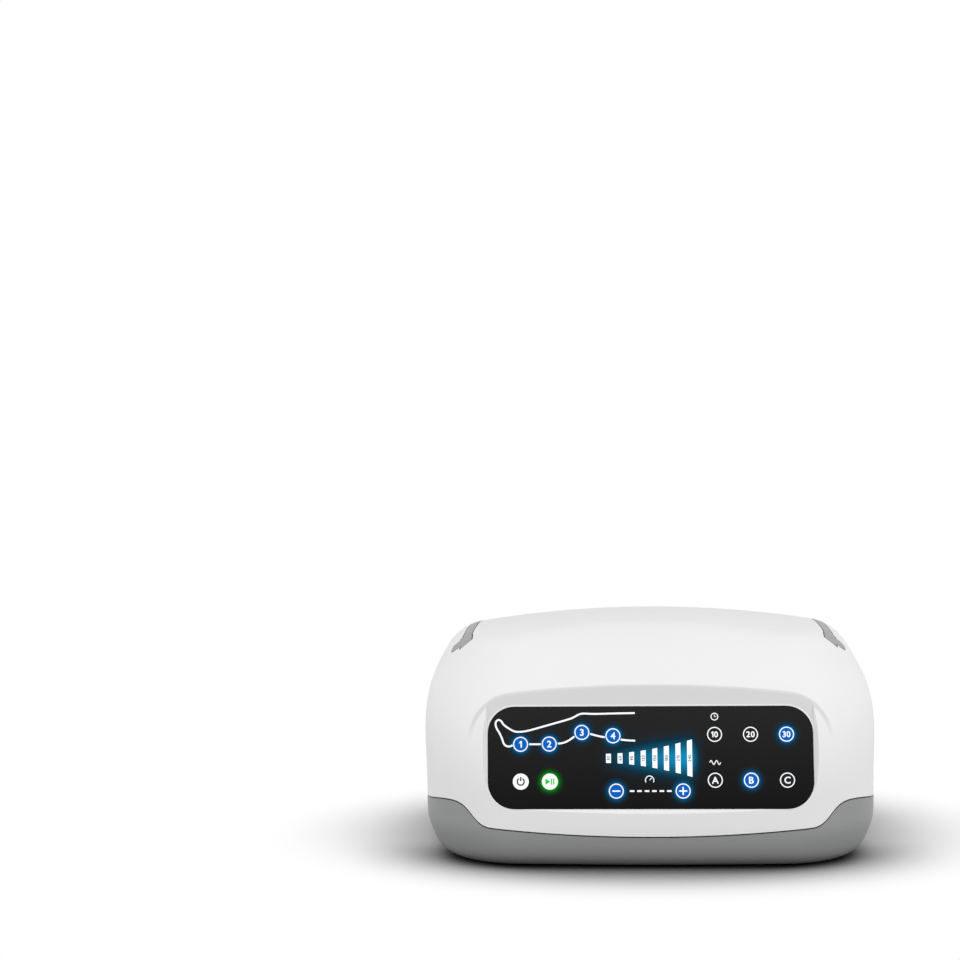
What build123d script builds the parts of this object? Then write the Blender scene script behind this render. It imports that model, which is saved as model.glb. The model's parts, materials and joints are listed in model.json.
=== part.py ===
"""Compression therapy pump: a table-top air pump for leg sleeves, with a tilted key panel and a bail handle.

Millimetres. X runs to the right, +Y to the back, +Z up. The origin is at the centre of the footprint on
the table, so the key panel looks along -Y.
"""

import math
import os

from build123d import *

os.makedirs("parts", exist_ok=True)

# ---------------------------------------------------------------- driving dimensions
HALF_WIDTH = 128.8
FRONT_REACH = 98.2
REAR_REACH = 98.0
HEIGHT = 134.5
FOOT_HEIGHT = 1.5
WALL = 2.5
SHOULDER_DROP = 54.5
CORNER_RADIUS = 48.0
FRONT_BOW = 4.5
SIDE_BOW = 7.0
ARCH_RADIUS = 620.0
CROWN_RADIUS = 190.0
CREST_Y = -12.0
TOP_ROUND = 30.0
MARGIN = 10.0

SEAM_FRONT_Z = 19.0
SEAM_FRONT_X = 88.0
SEAM_FRONT_RISE = 4.5
SEAM_SIDE_X = 110.5
SEAM_SIDE_Z = 37.2
SEAM_SIDE_FALL = 9.0
SEAM_SIDE_SLOPE = 0.3
SEAM_GAP = 0.8
GASKET_INSET = 0.9

PANEL_WIDTH = 178.0
PANEL_HEIGHT = 55.7
PANEL_CORNER = 14.6
PANEL_THICK = 2.0
PANEL_FIT = 0.25
PANEL_LIP = 3.0
PANEL_RECESS = 6.8
PANEL_Z = 62.0
PANEL_TILT = 11.0
POCKET_DEPTH = 8.0
POCKET_SIDE_FLARE = 7.6
POCKET_LOWER_FLARE = 20.0
POCKET_OPEN_TOP = 20.0
BACKING = 2.5
BACKING_MARGIN = 12.0

KEY_DIAMETER = 8.6
KEY_GAP = 0.15
KEY_PROUD = 0.25
KEY_TRAVEL = 0.8
KEY_FLANGE = 1.1
KEY_FLANGE_THICK = 0.8
KEY_STEM = 3.0
KEY_STEM_LENGTH = 2.2
KEY_EDGE = 0.2
PANEL_EDGE = 0.4
SWITCH_SIZE = 6.0
SWITCH_HEIGHT = 2.4
SWITCH_GAP = 0.1
BOARD_THICK = 1.6
BOARD_CORNER = 3.0

BAR_WIDTH = 2.7
BAR_PITCH = 6.35
BAR_FIRST_U = -22.7
BAR_V = -0.4
BAR_SHORTEST = 5.0
BAR_TALLEST = 19.6
BAR_COUNT = 8
BAR_CURVE = 1.7
BAR_FIT = 0.05
BOARD_WIDTH = 188.0
BOARD_HEIGHT = 46.0
BOARD_SCREW_U = 90.0
BOARD_SCREW_V = 12.0
BOARD_BOSS = 3.0
BOARD_SCREW = 2.5

HANDLE_FRONT_INSET = 25.3
HANDLE_REAR_INSET = 31.8
HANDLE_WIDTH = 5.2
HANDLE_THICK = 7.0
HANDLE_GAP = 0.6
HANDLE_BAR_Y = 42.0
HANDLE_BAR_DEPTH = 11.0
HANDLE_CORNER = 16.0
HINGE_Y = -41.2
HINGE_DROP = 17.1
HINGE_EYE = 6.0
HINGE_EYE_WIDTH = 6.4
HINGE_FOOT = 3.4
HINGE_FOOT_REACH = 5.0
HINGE_PIN = 3.0
HINGE_PIN_GRIP = 2.0
PIN_FIT = 0.05
SCOOP_WIDTH = 92.0
SCOOP_OPEN = 18.0
SCOOP_DEPTH = 22.0
SCOOP_CORNER = 8.0

REAR_PLATE_RECESS = 5.5
REAR_PLATE_WIDTH = 146.0
REAR_PLATE_HEIGHT = 44.0
REAR_PLATE_DROP = 20.0
REAR_PLATE_CORNER = 8.0
VENT_WIDTH = 2.6
VENT_HEIGHT = 16.0
VENT_PITCH = 6.0
VENT_COUNT = 15
VENT_RISE = 17.0

POST_X = 98.0
POST_Y = 60.0
POST_RADIUS = 4.5
SCREW_DIAMETER = 3.0
SCREW_CLEARANCE = 0.2
SCREW_HEAD = 5.6
SCREW_HEAD_HEIGHT = 2.4
SCREW_SINK = 6.0
SCREW_LENGTH = 34.0
FOOT_X = 84.0
FOOT_Y = 58.0
FOOT_DIAMETER = 15.0
FOOT_SINK = 2.0
FOOT_PAD = 3.0
FOOT_FIT = 0.2
FILTER_X = -54.0
FILTER_Y = -62.0
FILTER_COVER = 26.0
FILTER_COVER_THICK = 1.6
FILTER_HOLE = 20.0
FILTER_FIT = 0.2
FILTER_SLOT = (14.0, 1.8)
FILTER_SLOT_PITCH = 3.6
FILTER_SLOTS = 5
BOSS_ROOT = 0.5

INLET_X = -50.0
INLET_FLANGE = (32.0, 22.0)
INLET_BODY = (25.0, 17.0)
INLET_LENGTH = 20.0
INLET_SOCKET = (15.6, 8.4)
INLET_SOCKET_DEPTH = 12.0
INLET_PIN = 2.4
INLET_PIN_PITCH = 8.6
INLET_PIN_LENGTH = 9.0
INLET_TAIL = 5.0

OUTLET_X = 34.0
OUTLET_ROWS = (-10.0, 10.0)
OUTLET_FLANGE = (54.0, 15.0)
OUTLET_BODY = (48.0, 11.0)
OUTLET_LENGTH = 14.0
OUTLET_BORE = 5.0
OUTLET_PITCH = 11.0
OUTLET_COUNT = 4
CONNECTOR_FIT = 0.15
CONNECTOR_CORNER = 3.0
FLANGE_THICK = 1.6

MANIFOLD_DEPTH = 20.0
MANIFOLD_WIDTH = 50.0
MANIFOLD_HEIGHT = 34.0
MANIFOLD_GAP = 8.0
MANIFOLD_BASE = 2.0
MANIFOLD_POST = 8.0
TUBE_DIAMETER = 6.0
TUBE_BORE = 3.6
CHANNEL_BORE = 4.6
CHANNEL_FLOOR = 5.0
VALVE_SIZE = (10.0, 16.0, 18.0)
VALVE_ROOF = 2.0
PLUNGER_DIAMETER = 5.0
PLUNGER_LENGTH = 12.0

PUMP_X = -50.0
PUMP_Y = 6.0
PUMP_AXIS_Z = 41.0
PUMP_SPAN = 76.0
PUMP_DEPTH = 52.0
PUMP_TOP = 20.0
PUMP_SHEET = 2.5
ISOLATOR_DIAMETER = 10.0
ISOLATOR_HEIGHT = 6.0
ISOLATOR_BOSS = 4.0
ISOLATOR_X = 32.0
ISOLATOR_Y = 20.0
ROD_DIAMETER = 6.0
ROD_FIT = 0.05
ARMATURE_SIZE = (36.0, 12.0, 20.0)
ARMATURE_TRAVEL = 1.5
ARMATURE_PLATE = 22.0
ARMATURE_PLATE_THICK = 2.0
MAGNET_SIZE = (12.0, 3.0, 16.0)
MAGNET_PITCH = 20.0
AIR_GAP = 1.2
CORE_HEIGHT = 24.0
CORE_LEG = 8.0
CORE_LEG_PITCH = 20.0
CORE_LEG_LENGTH = 8.0
CORE_BACK = 6.0
COIL_WALL = 3.6
COIL_GAP = 0.3
DIAPHRAGM_DIAMETER = 34.0
DIAPHRAGM_THICK = 1.2
DIAPHRAGM_HOLE = 8.0
HEAD_DIAMETER = 40.0
HEAD_LENGTH = 12.0
HEAD_CHAMBER = 28.0
HEAD_WALL = 3.0
HEAD_RIBS = 3
NOZZLE_LENGTH = 8.0
TUBE_SEAT = 0.3
TUBE_BEND = 9.0
TUBE_ARCH = 27.8
TUBE_LEAD = 18.0
TUBE_PITCH = 8.0
NOZZLE_ROOT = 1.0

MAIN_BOARD = (80.0, 84.0)
MAIN_BOARD_X = 50.0
MAIN_BOARD_Y = -20.0
MAIN_BOARD_Z = 12.0
MAIN_BOARD_INSET = 5.0
TRANSFORMER_SIZE = (34.0, 30.0, 24.0)
TRANSFORMER_CHAMFER = 2.0
CAPACITOR_DIAMETER = 12.0
CAPACITOR_HEIGHT = 20.0
CHIP_SIZE = 14.0
CHIP_HEIGHT = 1.8
PLUG_SIZE = (18.0, 8.0, 9.0)
BUZZER_DIAMETER = 12.0
BUZZER_HEIGHT = 8.0
BUZZER_HOLE = 2.0
SENSOR_SIZE = 10.0
SENSOR_HEIGHT = 6.0
SENSOR_NOZZLE = 3.0
SENSOR_BORE = 1.4

# Where the main board's components stand, from its middle.
TRANSFORMER_PLACE = (14.0, -18.0)
CAPACITOR_PLACES = [(-26.0, -26.0), (-12.0, -26.0)]
CHIP_PLACES = [(-20.0, 6.0), (4.0, 14.0)]
PLUG_PLACES = [(-16.0, 32.0), (10.0, 32.0)]
BUZZER_PLACE = (26.0, 16.0)
SENSOR_PLACE = (28.0, 32.0)

# Where each key lies on the panel: right of and above its middle.
KEYS = {
    "key_position_1": (-71.0, 7.4),
    "key_position_2": (-55.2, 7.5),
    "key_position_3": (-37.2, 13.8),
    "key_position_4": (-20.1, 11.9),
    "key_power": (-71.0, -13.0),
    "key_start": (-55.0, -13.0),
    "key_minus": (-18.6, -18.2),
    "key_plus": (17.9, -18.2),
    "key_time_10": (35.5, 12.5),
    "key_time_20": (55.1, 12.5),
    "key_time_30": (74.7, 12.5),
    "key_mode_a": (35.5, -12.4),
    "key_mode_b": (55.1, -12.4),
    "key_mode_c": (74.7, -12.4),
}

# ---------------------------------------------------------------- worked out
FLOOR = FOOT_HEIGHT + WALL
SHOULDER_Z = HEIGHT - SHOULDER_DROP
PANEL_Y = PANEL_RECESS - FRONT_REACH
HANDLE_FRONT_X = HALF_WIDTH - HANDLE_FRONT_INSET
HANDLE_REAR_X = HALF_WIDTH - HANDLE_REAR_INSET
HINGE_Z = HEIGHT - HINGE_DROP
REAR_PLATE_Y = REAR_REACH - REAR_PLATE_RECESS
REAR_PLATE_Z = SHOULDER_Z - REAR_PLATE_DROP
VENT_Z = SHOULDER_Z + VENT_RISE

# How the outer skin narrows with height: level, then how far its half width, front, rear and
# corner radius fall short of the widest ring.
RINGS = [
    (FOOT_HEIGHT - 3.0, 20.0, 19.0, 19.0, 8.0),
    (FOOT_HEIGHT + 1.5, 10.2, 8.4, 8.8, 5.0),
    (FOOT_HEIGHT + 7.0, 5.6, 3.4, 4.4, 2.0),
    (FOOT_HEIGHT + 16.0, 2.0, 0.8, 1.5, 0.5),
    (32.0, 0.3, 0.0, 0.3, 0.0),
    (57.0, 0.0, 0.0, 0.0, 0.0),
    (SHOULDER_Z, -0.2, 4.7, 0.6, 0.0),
    (SHOULDER_Z + 17.0, 3.5, 12.2, 2.5, 0.0),
    (SHOULDER_Z + 32.0, 11.2, 23.7, 6.5, 2.0),
    (SHOULDER_Z + 44.0, 18.0, 37.7, 14.0, 6.0),
    (SHOULDER_Z + 54.0, 27.0, 57.2, 25.0, 12.0),
    (SHOULDER_Z + 62.0, 38.8, 78.2, 39.0, 21.0),
]

# Depths behind the panel's face, and heights inside the housing.
SWITCH_TOP = PANEL_THICK + KEY_FLANGE_THICK + KEY_STEM_LENGTH + KEY_TRAVEL + SWITCH_GAP
BOARD_DEPTH = SWITCH_TOP + SWITCH_HEIGHT
MANIFOLD_Z = REAR_PLATE_Z + OUTLET_ROWS[0] - OUTLET_BODY[1] / 2 - MANIFOLD_BASE
MANIFOLD_Y = REAR_PLATE_Y - OUTLET_LENGTH - MANIFOLD_GAP - MANIFOLD_DEPTH / 2
PUMP_FLOOR = FLOOR + ISOLATOR_BOSS + ISOLATOR_HEIGHT

LEG_MIDDLE = ARMATURE_SIZE[1] / 2 + MAGNET_SIZE[1] + AIR_GAP + CORE_LEG_LENGTH / 2
CORE_MIDDLE = LEG_MIDDLE + (CORE_LEG_LENGTH + CORE_BACK) / 2
COIL_LENGTH = CORE_LEG_LENGTH - 2 * COIL_GAP
ROD_REACH = (
    PUMP_SPAN / 2 + PUMP_SHEET + DIAPHRAGM_THICK + ARMATURE_TRAVEL + COIL_GAP + ARMATURE_PLATE_THICK
)

main_board_corners = [
    (
        MAIN_BOARD_X + side_x * (MAIN_BOARD[0] / 2 - MAIN_BOARD_INSET),
        MAIN_BOARD_Y + side_y * (MAIN_BOARD[1] / 2 - MAIN_BOARD_INSET),
    )
    for side_x in (-1, 1)
    for side_y in (-1, 1)
]
manifold_posts = [
    (OUTLET_X + side * (MANIFOLD_WIDTH / 2 - MANIFOLD_POST), MANIFOLD_Y) for side in (-1, 1)
]

rear_plane = Plane(origin=(0, REAR_PLATE_Y, REAR_PLATE_Z), x_dir=(-1, 0, 0), z_dir=(0, 1, 0))
panel_plane = Plane(
    origin=(0, PANEL_Y, PANEL_Z),
    x_dir=(1, 0, 0),
    z_dir=(0, -math.cos(math.radians(PANEL_TILT)), math.sin(math.radians(PANEL_TILT))),
)
panel_axis = Axis(panel_plane.origin, panel_plane.z_dir)
board_plane = Plane(origin=(MAIN_BOARD_X, MAIN_BOARD_Y, MAIN_BOARD_Z + BOARD_THICK))


def ring(level, half_width, front, rear, corner):
    """One level slice of the housing: four bowed sides with rounded corners."""
    side_y = (rear - front) / 2
    corner_x = half_width - SIDE_BOW
    front_left = (-corner_x, FRONT_BOW - front)
    front_right = (corner_x, FRONT_BOW - front)
    rear_right = (corner_x, rear - FRONT_BOW)
    rear_left = (-corner_x, rear - FRONT_BOW)
    with BuildSketch(Plane.XY.offset(level)) as slice_:
        with BuildLine():
            ThreePointArc(front_left, (0, -front), front_right)
            ThreePointArc(front_right, (half_width, side_y), rear_right)
            ThreePointArc(rear_right, (0, rear), rear_left)
            ThreePointArc(rear_left, (-half_width, side_y), front_left)
        make_face()
        fillet(vertices(), corner)
    return slice_.sketch


def form(inset, floor, top_round=None):
    """The housing's outer shape, drawn in by inset: a bowed, tapering wall under a crowned roof."""
    axis_z = HEIGHT - ARCH_RADIUS
    roof = axis_z - ARCH_RADIUS + inset
    reach = REAR_REACH - CREST_Y + MARGIN
    sag = CROWN_RADIUS - math.sqrt(CROWN_RADIUS**2 - reach**2)
    with BuildPart() as block:
        for level, narrow, front_in, rear_in, corner_in in RINGS:
            add(
                ring(
                    level,
                    HALF_WIDTH - narrow - inset,
                    FRONT_REACH - front_in - inset,
                    REAR_REACH - rear_in - inset,
                    CORNER_RADIUS - corner_in - inset,
                )
            )
        with BuildLine():
            Line((0, 0, RINGS[0][0]), (0, 0, RINGS[-1][0]))
        sweep(multisection=True)
        split(bisect_by=Plane.XY.offset(floor), keep=Keep.TOP)
        # The roof is a barrel, crowned along Y; drawn under its axis, so its seam line is far away.
        with BuildSketch(Plane.YZ):
            with BuildLine():
                ThreePointArc(
                    (CREST_Y - reach, roof + sag),
                    (CREST_Y, roof),
                    (CREST_Y + reach, roof + sag),
                )
                Polyline(
                    (CREST_Y + reach, roof + sag),
                    (CREST_Y + reach, axis_z),
                    (CREST_Y - reach, axis_z),
                    (CREST_Y - reach, roof + sag),
                )
            make_face()
        revolve(axis=Axis((0, 0, axis_z), (0, 1, 0)), mode=Mode.INTERSECT)
        if top_round:
            fillet(faces().sort_by(Axis.Z)[-1].edges(), top_round)
    return block.part


def below_seam(shift):
    """Everything under the seam between the white and the grey shell, moved up by shift."""
    edge_x = HALF_WIDTH + MARGIN
    front_z = SEAM_FRONT_Z + SEAM_FRONT_RISE + shift
    side_z = SEAM_SIDE_Z + shift
    slope = 2 * SEAM_FRONT_RISE / SEAM_FRONT_X
    with BuildPart() as under:
        with BuildSketch(Plane.XZ):
            with BuildLine():
                ThreePointArc(
                    (-SEAM_FRONT_X, front_z), (0, SEAM_FRONT_Z + shift), (SEAM_FRONT_X, front_z)
                )
                for side in (-1, 1):
                    Spline(
                        (side * SEAM_FRONT_X, front_z),
                        (side * SEAM_SIDE_X, side_z),
                        tangents=[(side, slope), (side, 0)],
                    )
                    Spline(
                        (side * SEAM_SIDE_X, side_z),
                        (side * edge_x, side_z - SEAM_SIDE_FALL),
                        tangents=[(side, 0), (side, -SEAM_SIDE_SLOPE)],
                    )
                Polyline(
                    (-edge_x, side_z - SEAM_SIDE_FALL),
                    (-edge_x, -MARGIN),
                    (edge_x, -MARGIN),
                    (edge_x, side_z - SEAM_SIDE_FALL),
                )
            make_face()
        extrude(amount=FRONT_REACH + REAR_REACH, both=True)
    return under.part


def panel_outline(grow):
    """The panel's rounded outline, larger all round by grow."""
    RectangleRounded(PANEL_WIDTH + 2 * grow, PANEL_HEIGHT + 2 * grow, PANEL_CORNER + grow)


# ---------------------------------------------------------------- housing

outer = form(0, FOOT_HEIGHT, TOP_ROUND)


def handle_plan(grow, height):
    """A prism with the bail handle's U outline seen from above, larger all round by grow."""
    half = HANDLE_WIDTH / 2 + grow
    rear_y = HANDLE_BAR_Y + HANDLE_BAR_DEPTH + grow
    with BuildPart() as prism:
        with BuildSketch(Plane.XY.offset(height)):
            with BuildLine():
                Polyline(
                    (-HANDLE_FRONT_X - half, HINGE_Y),
                    (-HANDLE_REAR_X - half, rear_y),
                    (HANDLE_REAR_X + half, rear_y),
                    (HANDLE_FRONT_X + half, HINGE_Y),
                    close=True,
                )
            make_face()
            fillet(vertices().group_by(Axis.Y)[-1], HANDLE_CORNER + grow)
            with BuildSketch(Plane.XY, mode=Mode.PRIVATE) as inside:
                with BuildLine():
                    Polyline(
                        (-HANDLE_FRONT_X + half, HINGE_Y),
                        (-HANDLE_REAR_X + half, HANDLE_BAR_Y - grow),
                        (HANDLE_REAR_X - half, HANDLE_BAR_Y - grow),
                        (HANDLE_FRONT_X - half, HINGE_Y),
                        close=True,
                    )
                make_face()
                fillet(vertices().group_by(Axis.Y)[-1], HANDLE_CORNER - HANDLE_WIDTH - grow)
            add(inside.sketch, mode=Mode.SUBTRACT)
        extrude(amount=HEIGHT)
    return prism.part


def hinge_barrel(grow):
    """The eyes and outward feet at the front ends of the handle's arms, larger all round by grow."""
    inner_x = HANDLE_FRONT_X - HINGE_EYE_WIDTH / 2 - grow
    eye_width = HINGE_EYE_WIDTH + 2 * grow
    with BuildPart() as barrel:
        for side in (-1, 1):
            plane = Plane(origin=(side * inner_x, HINGE_Y, HINGE_Z), z_dir=(side, 0, 0))
            with BuildSketch(plane):
                Circle(HINGE_EYE + grow)
            extrude(amount=eye_width)
            with BuildSketch(plane):
                Circle(HINGE_FOOT + grow)
            extrude(amount=eye_width + HINGE_FOOT_REACH)
    return barrel.part


def handle_bed(grow, depth):
    """The room the folded handle takes up in the roof: grow wider all round and depth deep."""
    with BuildPart() as bed:
        add(handle_plan(grow, HINGE_Z - 2 * SCOOP_DEPTH))
        add(form(depth, SEAM_SIDE_Z), mode=Mode.SUBTRACT)
        add(hinge_barrel(grow))
    return bed.part


def finger_scoop(grow, depth):
    """The hollow in front of and under the handle's bar that lets fingers in."""
    length = SCOOP_OPEN + HANDLE_BAR_DEPTH + 2 * grow
    middle = HANDLE_BAR_Y - SCOOP_OPEN + (SCOOP_OPEN + HANDLE_BAR_DEPTH) / 2
    with BuildPart() as scoop:
        with BuildSketch(Plane.XY.offset(HEIGHT / 2)):
            with Locations((0, middle)):
                RectangleRounded(SCOOP_WIDTH + 2 * grow, length, SCOOP_CORNER + grow)
        extrude(amount=HEIGHT)
        add(form(depth, SEAM_SIDE_Z), mode=Mode.SUBTRACT)
    return scoop.part


def hinge_pins(grow):
    """The two pins from the shell's wall out into the handle's eyes, thicker all round by grow."""
    start = HANDLE_FRONT_X - HINGE_EYE_WIDTH / 2 - HANDLE_GAP - HINGE_PIN_GRIP
    length = HINGE_PIN_GRIP + HANDLE_GAP + HINGE_EYE_WIDTH
    with BuildPart() as pins:
        for side in (-1, 1):
            with BuildSketch(
                Plane(origin=(side * start, HINGE_Y, HINGE_Z), z_dir=(side, 0, 0))
            ):
                Circle(HINGE_PIN / 2 + grow)
            extrude(amount=length)
    return pins.part


def bar_height(step):
    """How tall the light bars' wedge is at a place along it, counted in bars from the first."""
    share = max(step, 0) / (BAR_COUNT - 1)
    return BAR_SHORTEST + (BAR_TALLEST - BAR_SHORTEST) * share**BAR_CURVE


def light_bar(step, grow):
    """One bar of the pressure scale, a trapezoid cut from the wedge, larger all round by grow."""
    u = BAR_FIRST_U + step * BAR_PITCH
    half = BAR_WIDTH / 2
    left = bar_height(step - half / BAR_PITCH) / 2 + grow
    right = bar_height(step + half / BAR_PITCH) / 2 + grow
    Polygon(
        (u - half - grow, BAR_V - left),
        (u + half + grow, BAR_V - right),
        (u + half + grow, BAR_V + right),
        (u - half - grow, BAR_V + left),
        align=None,
    )


def coil_ring():
    """The outline of a coil round an E core's middle leg."""
    with Locations((0, PUMP_AXIS_Z)):
        RectangleRounded(
            CORE_LEG + 2 * COIL_GAP + 2 * COIL_WALL, CORE_HEIGHT + 2 * COIL_GAP + 2 * COIL_WALL, COIL_WALL
        )
        Rectangle(CORE_LEG + 2 * COIL_GAP, CORE_HEIGHT + 2 * COIL_GAP, mode=Mode.SUBTRACT)


# ---------------------------------------------------------------- carrying handle
with BuildPart() as carry_handle:
    add(handle_bed(0, HANDLE_THICK))
    add(outer, mode=Mode.INTERSECT)
    add(hinge_pins(PIN_FIT), mode=Mode.SUBTRACT)

with BuildPart() as handle_pins:
    add(hinge_pins(0))

# ---------------------------------------------------------------- housing
with BuildPart() as cavity:
    add(form(WALL, FLOOR, TOP_ROUND - WALL))
    # Behind the key panel and the rear plate the wall steps in, and the roof dips under the handle.
    with BuildSketch(panel_plane.offset(-PANEL_THICK - BACKING)):
        RectangleRounded(
            PANEL_WIDTH + 2 * BACKING_MARGIN, PANEL_HEIGHT + 2 * BACKING_MARGIN, PANEL_CORNER
        )
    extrude(amount=POCKET_DEPTH + BACKING, mode=Mode.SUBTRACT)
    with BuildSketch(rear_plane.offset(-BACKING)):
        RectangleRounded(
            REAR_PLATE_WIDTH + 2 * BACKING_MARGIN,
            REAR_PLATE_HEIGHT + 2 * BACKING_MARGIN,
            REAR_PLATE_CORNER,
        )
    extrude(amount=POCKET_DEPTH + BACKING, mode=Mode.SUBTRACT)
    add(handle_bed(HANDLE_GAP + WALL, HANDLE_THICK + HANDLE_GAP + WALL), mode=Mode.SUBTRACT)
    add(finger_scoop(WALL, SCOOP_DEPTH + WALL), mode=Mode.SUBTRACT)
    # Screw posts run from floor to roof, so the seam leaves half of each in either shell.
    with BuildSketch(Plane.XY):
        with GridLocations(2 * POST_X, 2 * POST_Y, 2, 2):
            Circle(POST_RADIUS)
    extrude(amount=HEIGHT, mode=Mode.SUBTRACT)
    with BuildSketch(Plane.XY):
        with GridLocations(2 * FOOT_X, 2 * FOOT_Y, 2, 2):
            Circle(FOOT_DIAMETER / 2 + WALL)
        with Locations((FILTER_X, FILTER_Y)):
            Circle(FILTER_COVER / 2 + WALL)
    extrude(amount=FLOOR + FOOT_PAD, mode=Mode.SUBTRACT)

with BuildPart() as housing:
    add(outer)
    add(cavity.part, mode=Mode.SUBTRACT)
    # The panel pocket: its floor is flat and runs out through the domed front above the panel.
    with BuildSketch(panel_plane):
        with Locations((0, POCKET_OPEN_TOP / 2)):
            RectangleRounded(
                PANEL_WIDTH + 2 * PANEL_FIT,
                PANEL_HEIGHT + 2 * PANEL_FIT + POCKET_OPEN_TOP,
                PANEL_CORNER,
            )
    with BuildSketch(panel_plane.offset(POCKET_DEPTH)):
        with Locations((0, (POCKET_OPEN_TOP - POCKET_LOWER_FLARE) / 2)):
            RectangleRounded(
                PANEL_WIDTH + 2 * PANEL_FIT + 2 * POCKET_SIDE_FLARE,
                PANEL_HEIGHT + 2 * PANEL_FIT + POCKET_OPEN_TOP + POCKET_LOWER_FLARE,
                PANEL_CORNER + POCKET_SIDE_FLARE,
            )
    loft(mode=Mode.SUBTRACT)
    with BuildSketch(panel_plane):
        panel_outline(PANEL_FIT)
    extrude(amount=-PANEL_THICK, mode=Mode.SUBTRACT)
    with BuildSketch(panel_plane.offset(-PANEL_THICK)):
        panel_outline(-PANEL_LIP)
    extrude(amount=-BACKING, mode=Mode.SUBTRACT)
    with BuildSketch(panel_plane.offset(-BOARD_DEPTH)):
        with GridLocations(2 * BOARD_SCREW_U, 2 * BOARD_SCREW_V, 2, 2):
            Circle(BOARD_BOSS)
            Circle(BOARD_SCREW / 2 + PIN_FIT, mode=Mode.SUBTRACT)
    extrude(amount=BOARD_DEPTH - PANEL_THICK - BACKING)
    # The folded handle's groove, its hinge pins' bores and the scoop for the fingers.
    add(handle_bed(HANDLE_GAP, HANDLE_THICK + HANDLE_GAP), mode=Mode.SUBTRACT)
    add(hinge_pins(PIN_FIT), mode=Mode.SUBTRACT)
    add(finger_scoop(0, SCOOP_DEPTH), mode=Mode.SUBTRACT)
    # The rear plate with its connector openings, and the vent slots above it.
    with BuildSketch(rear_plane):
        RectangleRounded(REAR_PLATE_WIDTH, REAR_PLATE_HEIGHT, REAR_PLATE_CORNER)
    extrude(amount=POCKET_DEPTH, mode=Mode.SUBTRACT)
    with BuildSketch(rear_plane.offset(-BACKING)):
        with Locations((-INLET_X, 0)):
            RectangleRounded(*[size + 2 * CONNECTOR_FIT for size in INLET_BODY], CONNECTOR_CORNER)
        with Locations(*[(-OUTLET_X, row) for row in OUTLET_ROWS]):
            RectangleRounded(*[size + 2 * CONNECTOR_FIT for size in OUTLET_BODY], CONNECTOR_CORNER)
    extrude(amount=BACKING, mode=Mode.SUBTRACT)
    with BuildSketch(rear_plane.offset(-POCKET_DEPTH)):
        with Locations((0, VENT_Z - REAR_PLATE_Z)):
            with GridLocations(VENT_PITCH, 0, VENT_COUNT, 1):
                SlotOverall(VENT_HEIGHT, VENT_WIDTH, rotation=90)
    extrude(amount=2 * POCKET_DEPTH, mode=Mode.SUBTRACT)

with BuildPart() as upper_shell:
    add(housing.part)
    add(below_seam(SEAM_GAP / 2), mode=Mode.SUBTRACT)
    with BuildSketch(Plane.XY.offset(FOOT_HEIGHT)):
        with GridLocations(2 * POST_X, 2 * POST_Y, 2, 2):
            Circle(SCREW_DIAMETER / 2 + PIN_FIT)
    extrude(amount=SCREW_SINK + SCREW_LENGTH + WALL, mode=Mode.SUBTRACT)

with BuildPart() as lower_shell:
    add(housing.part)
    add(below_seam(-SEAM_GAP / 2), mode=Mode.INTERSECT)
    with BuildSketch(Plane.XY.offset(FLOOR - BOSS_ROOT)):
        with Locations((PUMP_X, PUMP_Y)):
            with GridLocations(2 * ISOLATOR_X, 2 * ISOLATOR_Y, 2, 2):
                Circle(ISOLATOR_DIAMETER / 2)
    extrude(amount=ISOLATOR_BOSS + BOSS_ROOT)
    with BuildSketch(Plane.XY.offset(FLOOR - BOSS_ROOT)):
        with Locations(*main_board_corners):
            Circle(BOARD_BOSS)
    extrude(amount=MAIN_BOARD_Z - FLOOR + BOSS_ROOT)
    with BuildSketch(Plane.XY.offset(FLOOR - BOSS_ROOT)):
        with Locations(*manifold_posts):
            Circle(MANIFOLD_POST / 2)
    extrude(amount=MANIFOLD_Z - FLOOR + BOSS_ROOT)
    with Locations(Plane.XY.offset(FOOT_HEIGHT)):
        with GridLocations(2 * FOOT_X, 2 * FOOT_Y, 2, 2):
            Cylinder(
                FOOT_DIAMETER / 2,
                FOOT_SINK,
                align=(Align.CENTER, Align.CENTER, Align.MIN),
                mode=Mode.SUBTRACT,
            )
    with Locations(Plane(origin=(0, 0, FOOT_HEIGHT), x_dir=(1, 0, 0), z_dir=(0, 0, -1))):
        with GridLocations(2 * POST_X, 2 * POST_Y, 2, 2):
            CounterBoreHole(
                SCREW_DIAMETER / 2 + SCREW_CLEARANCE, SCREW_HEAD / 2 + SCREW_CLEARANCE, SCREW_SINK
            )
        with Locations((FILTER_X, -FILTER_Y)):
            CounterBoreHole(FILTER_HOLE / 2, FILTER_COVER / 2, FILTER_COVER_THICK)

with BuildPart() as seam_gasket:
    add(form(GASKET_INSET, FLOOR))
    add(form(WALL, FOOT_HEIGHT), mode=Mode.SUBTRACT)
    add(below_seam(SEAM_GAP / 2), mode=Mode.INTERSECT)
    add(below_seam(-SEAM_GAP / 2), mode=Mode.SUBTRACT)

with BuildPart() as rubber_feet:
    with BuildSketch(Plane.XY):
        with GridLocations(2 * FOOT_X, 2 * FOOT_Y, 2, 2):
            Circle(FOOT_DIAMETER / 2 - FOOT_FIT)
    extrude(amount=FOOT_HEIGHT + FOOT_SINK)
    chamfer(faces().group_by(Axis.Z)[0].edges(), FOOT_HEIGHT / 2)

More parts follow.
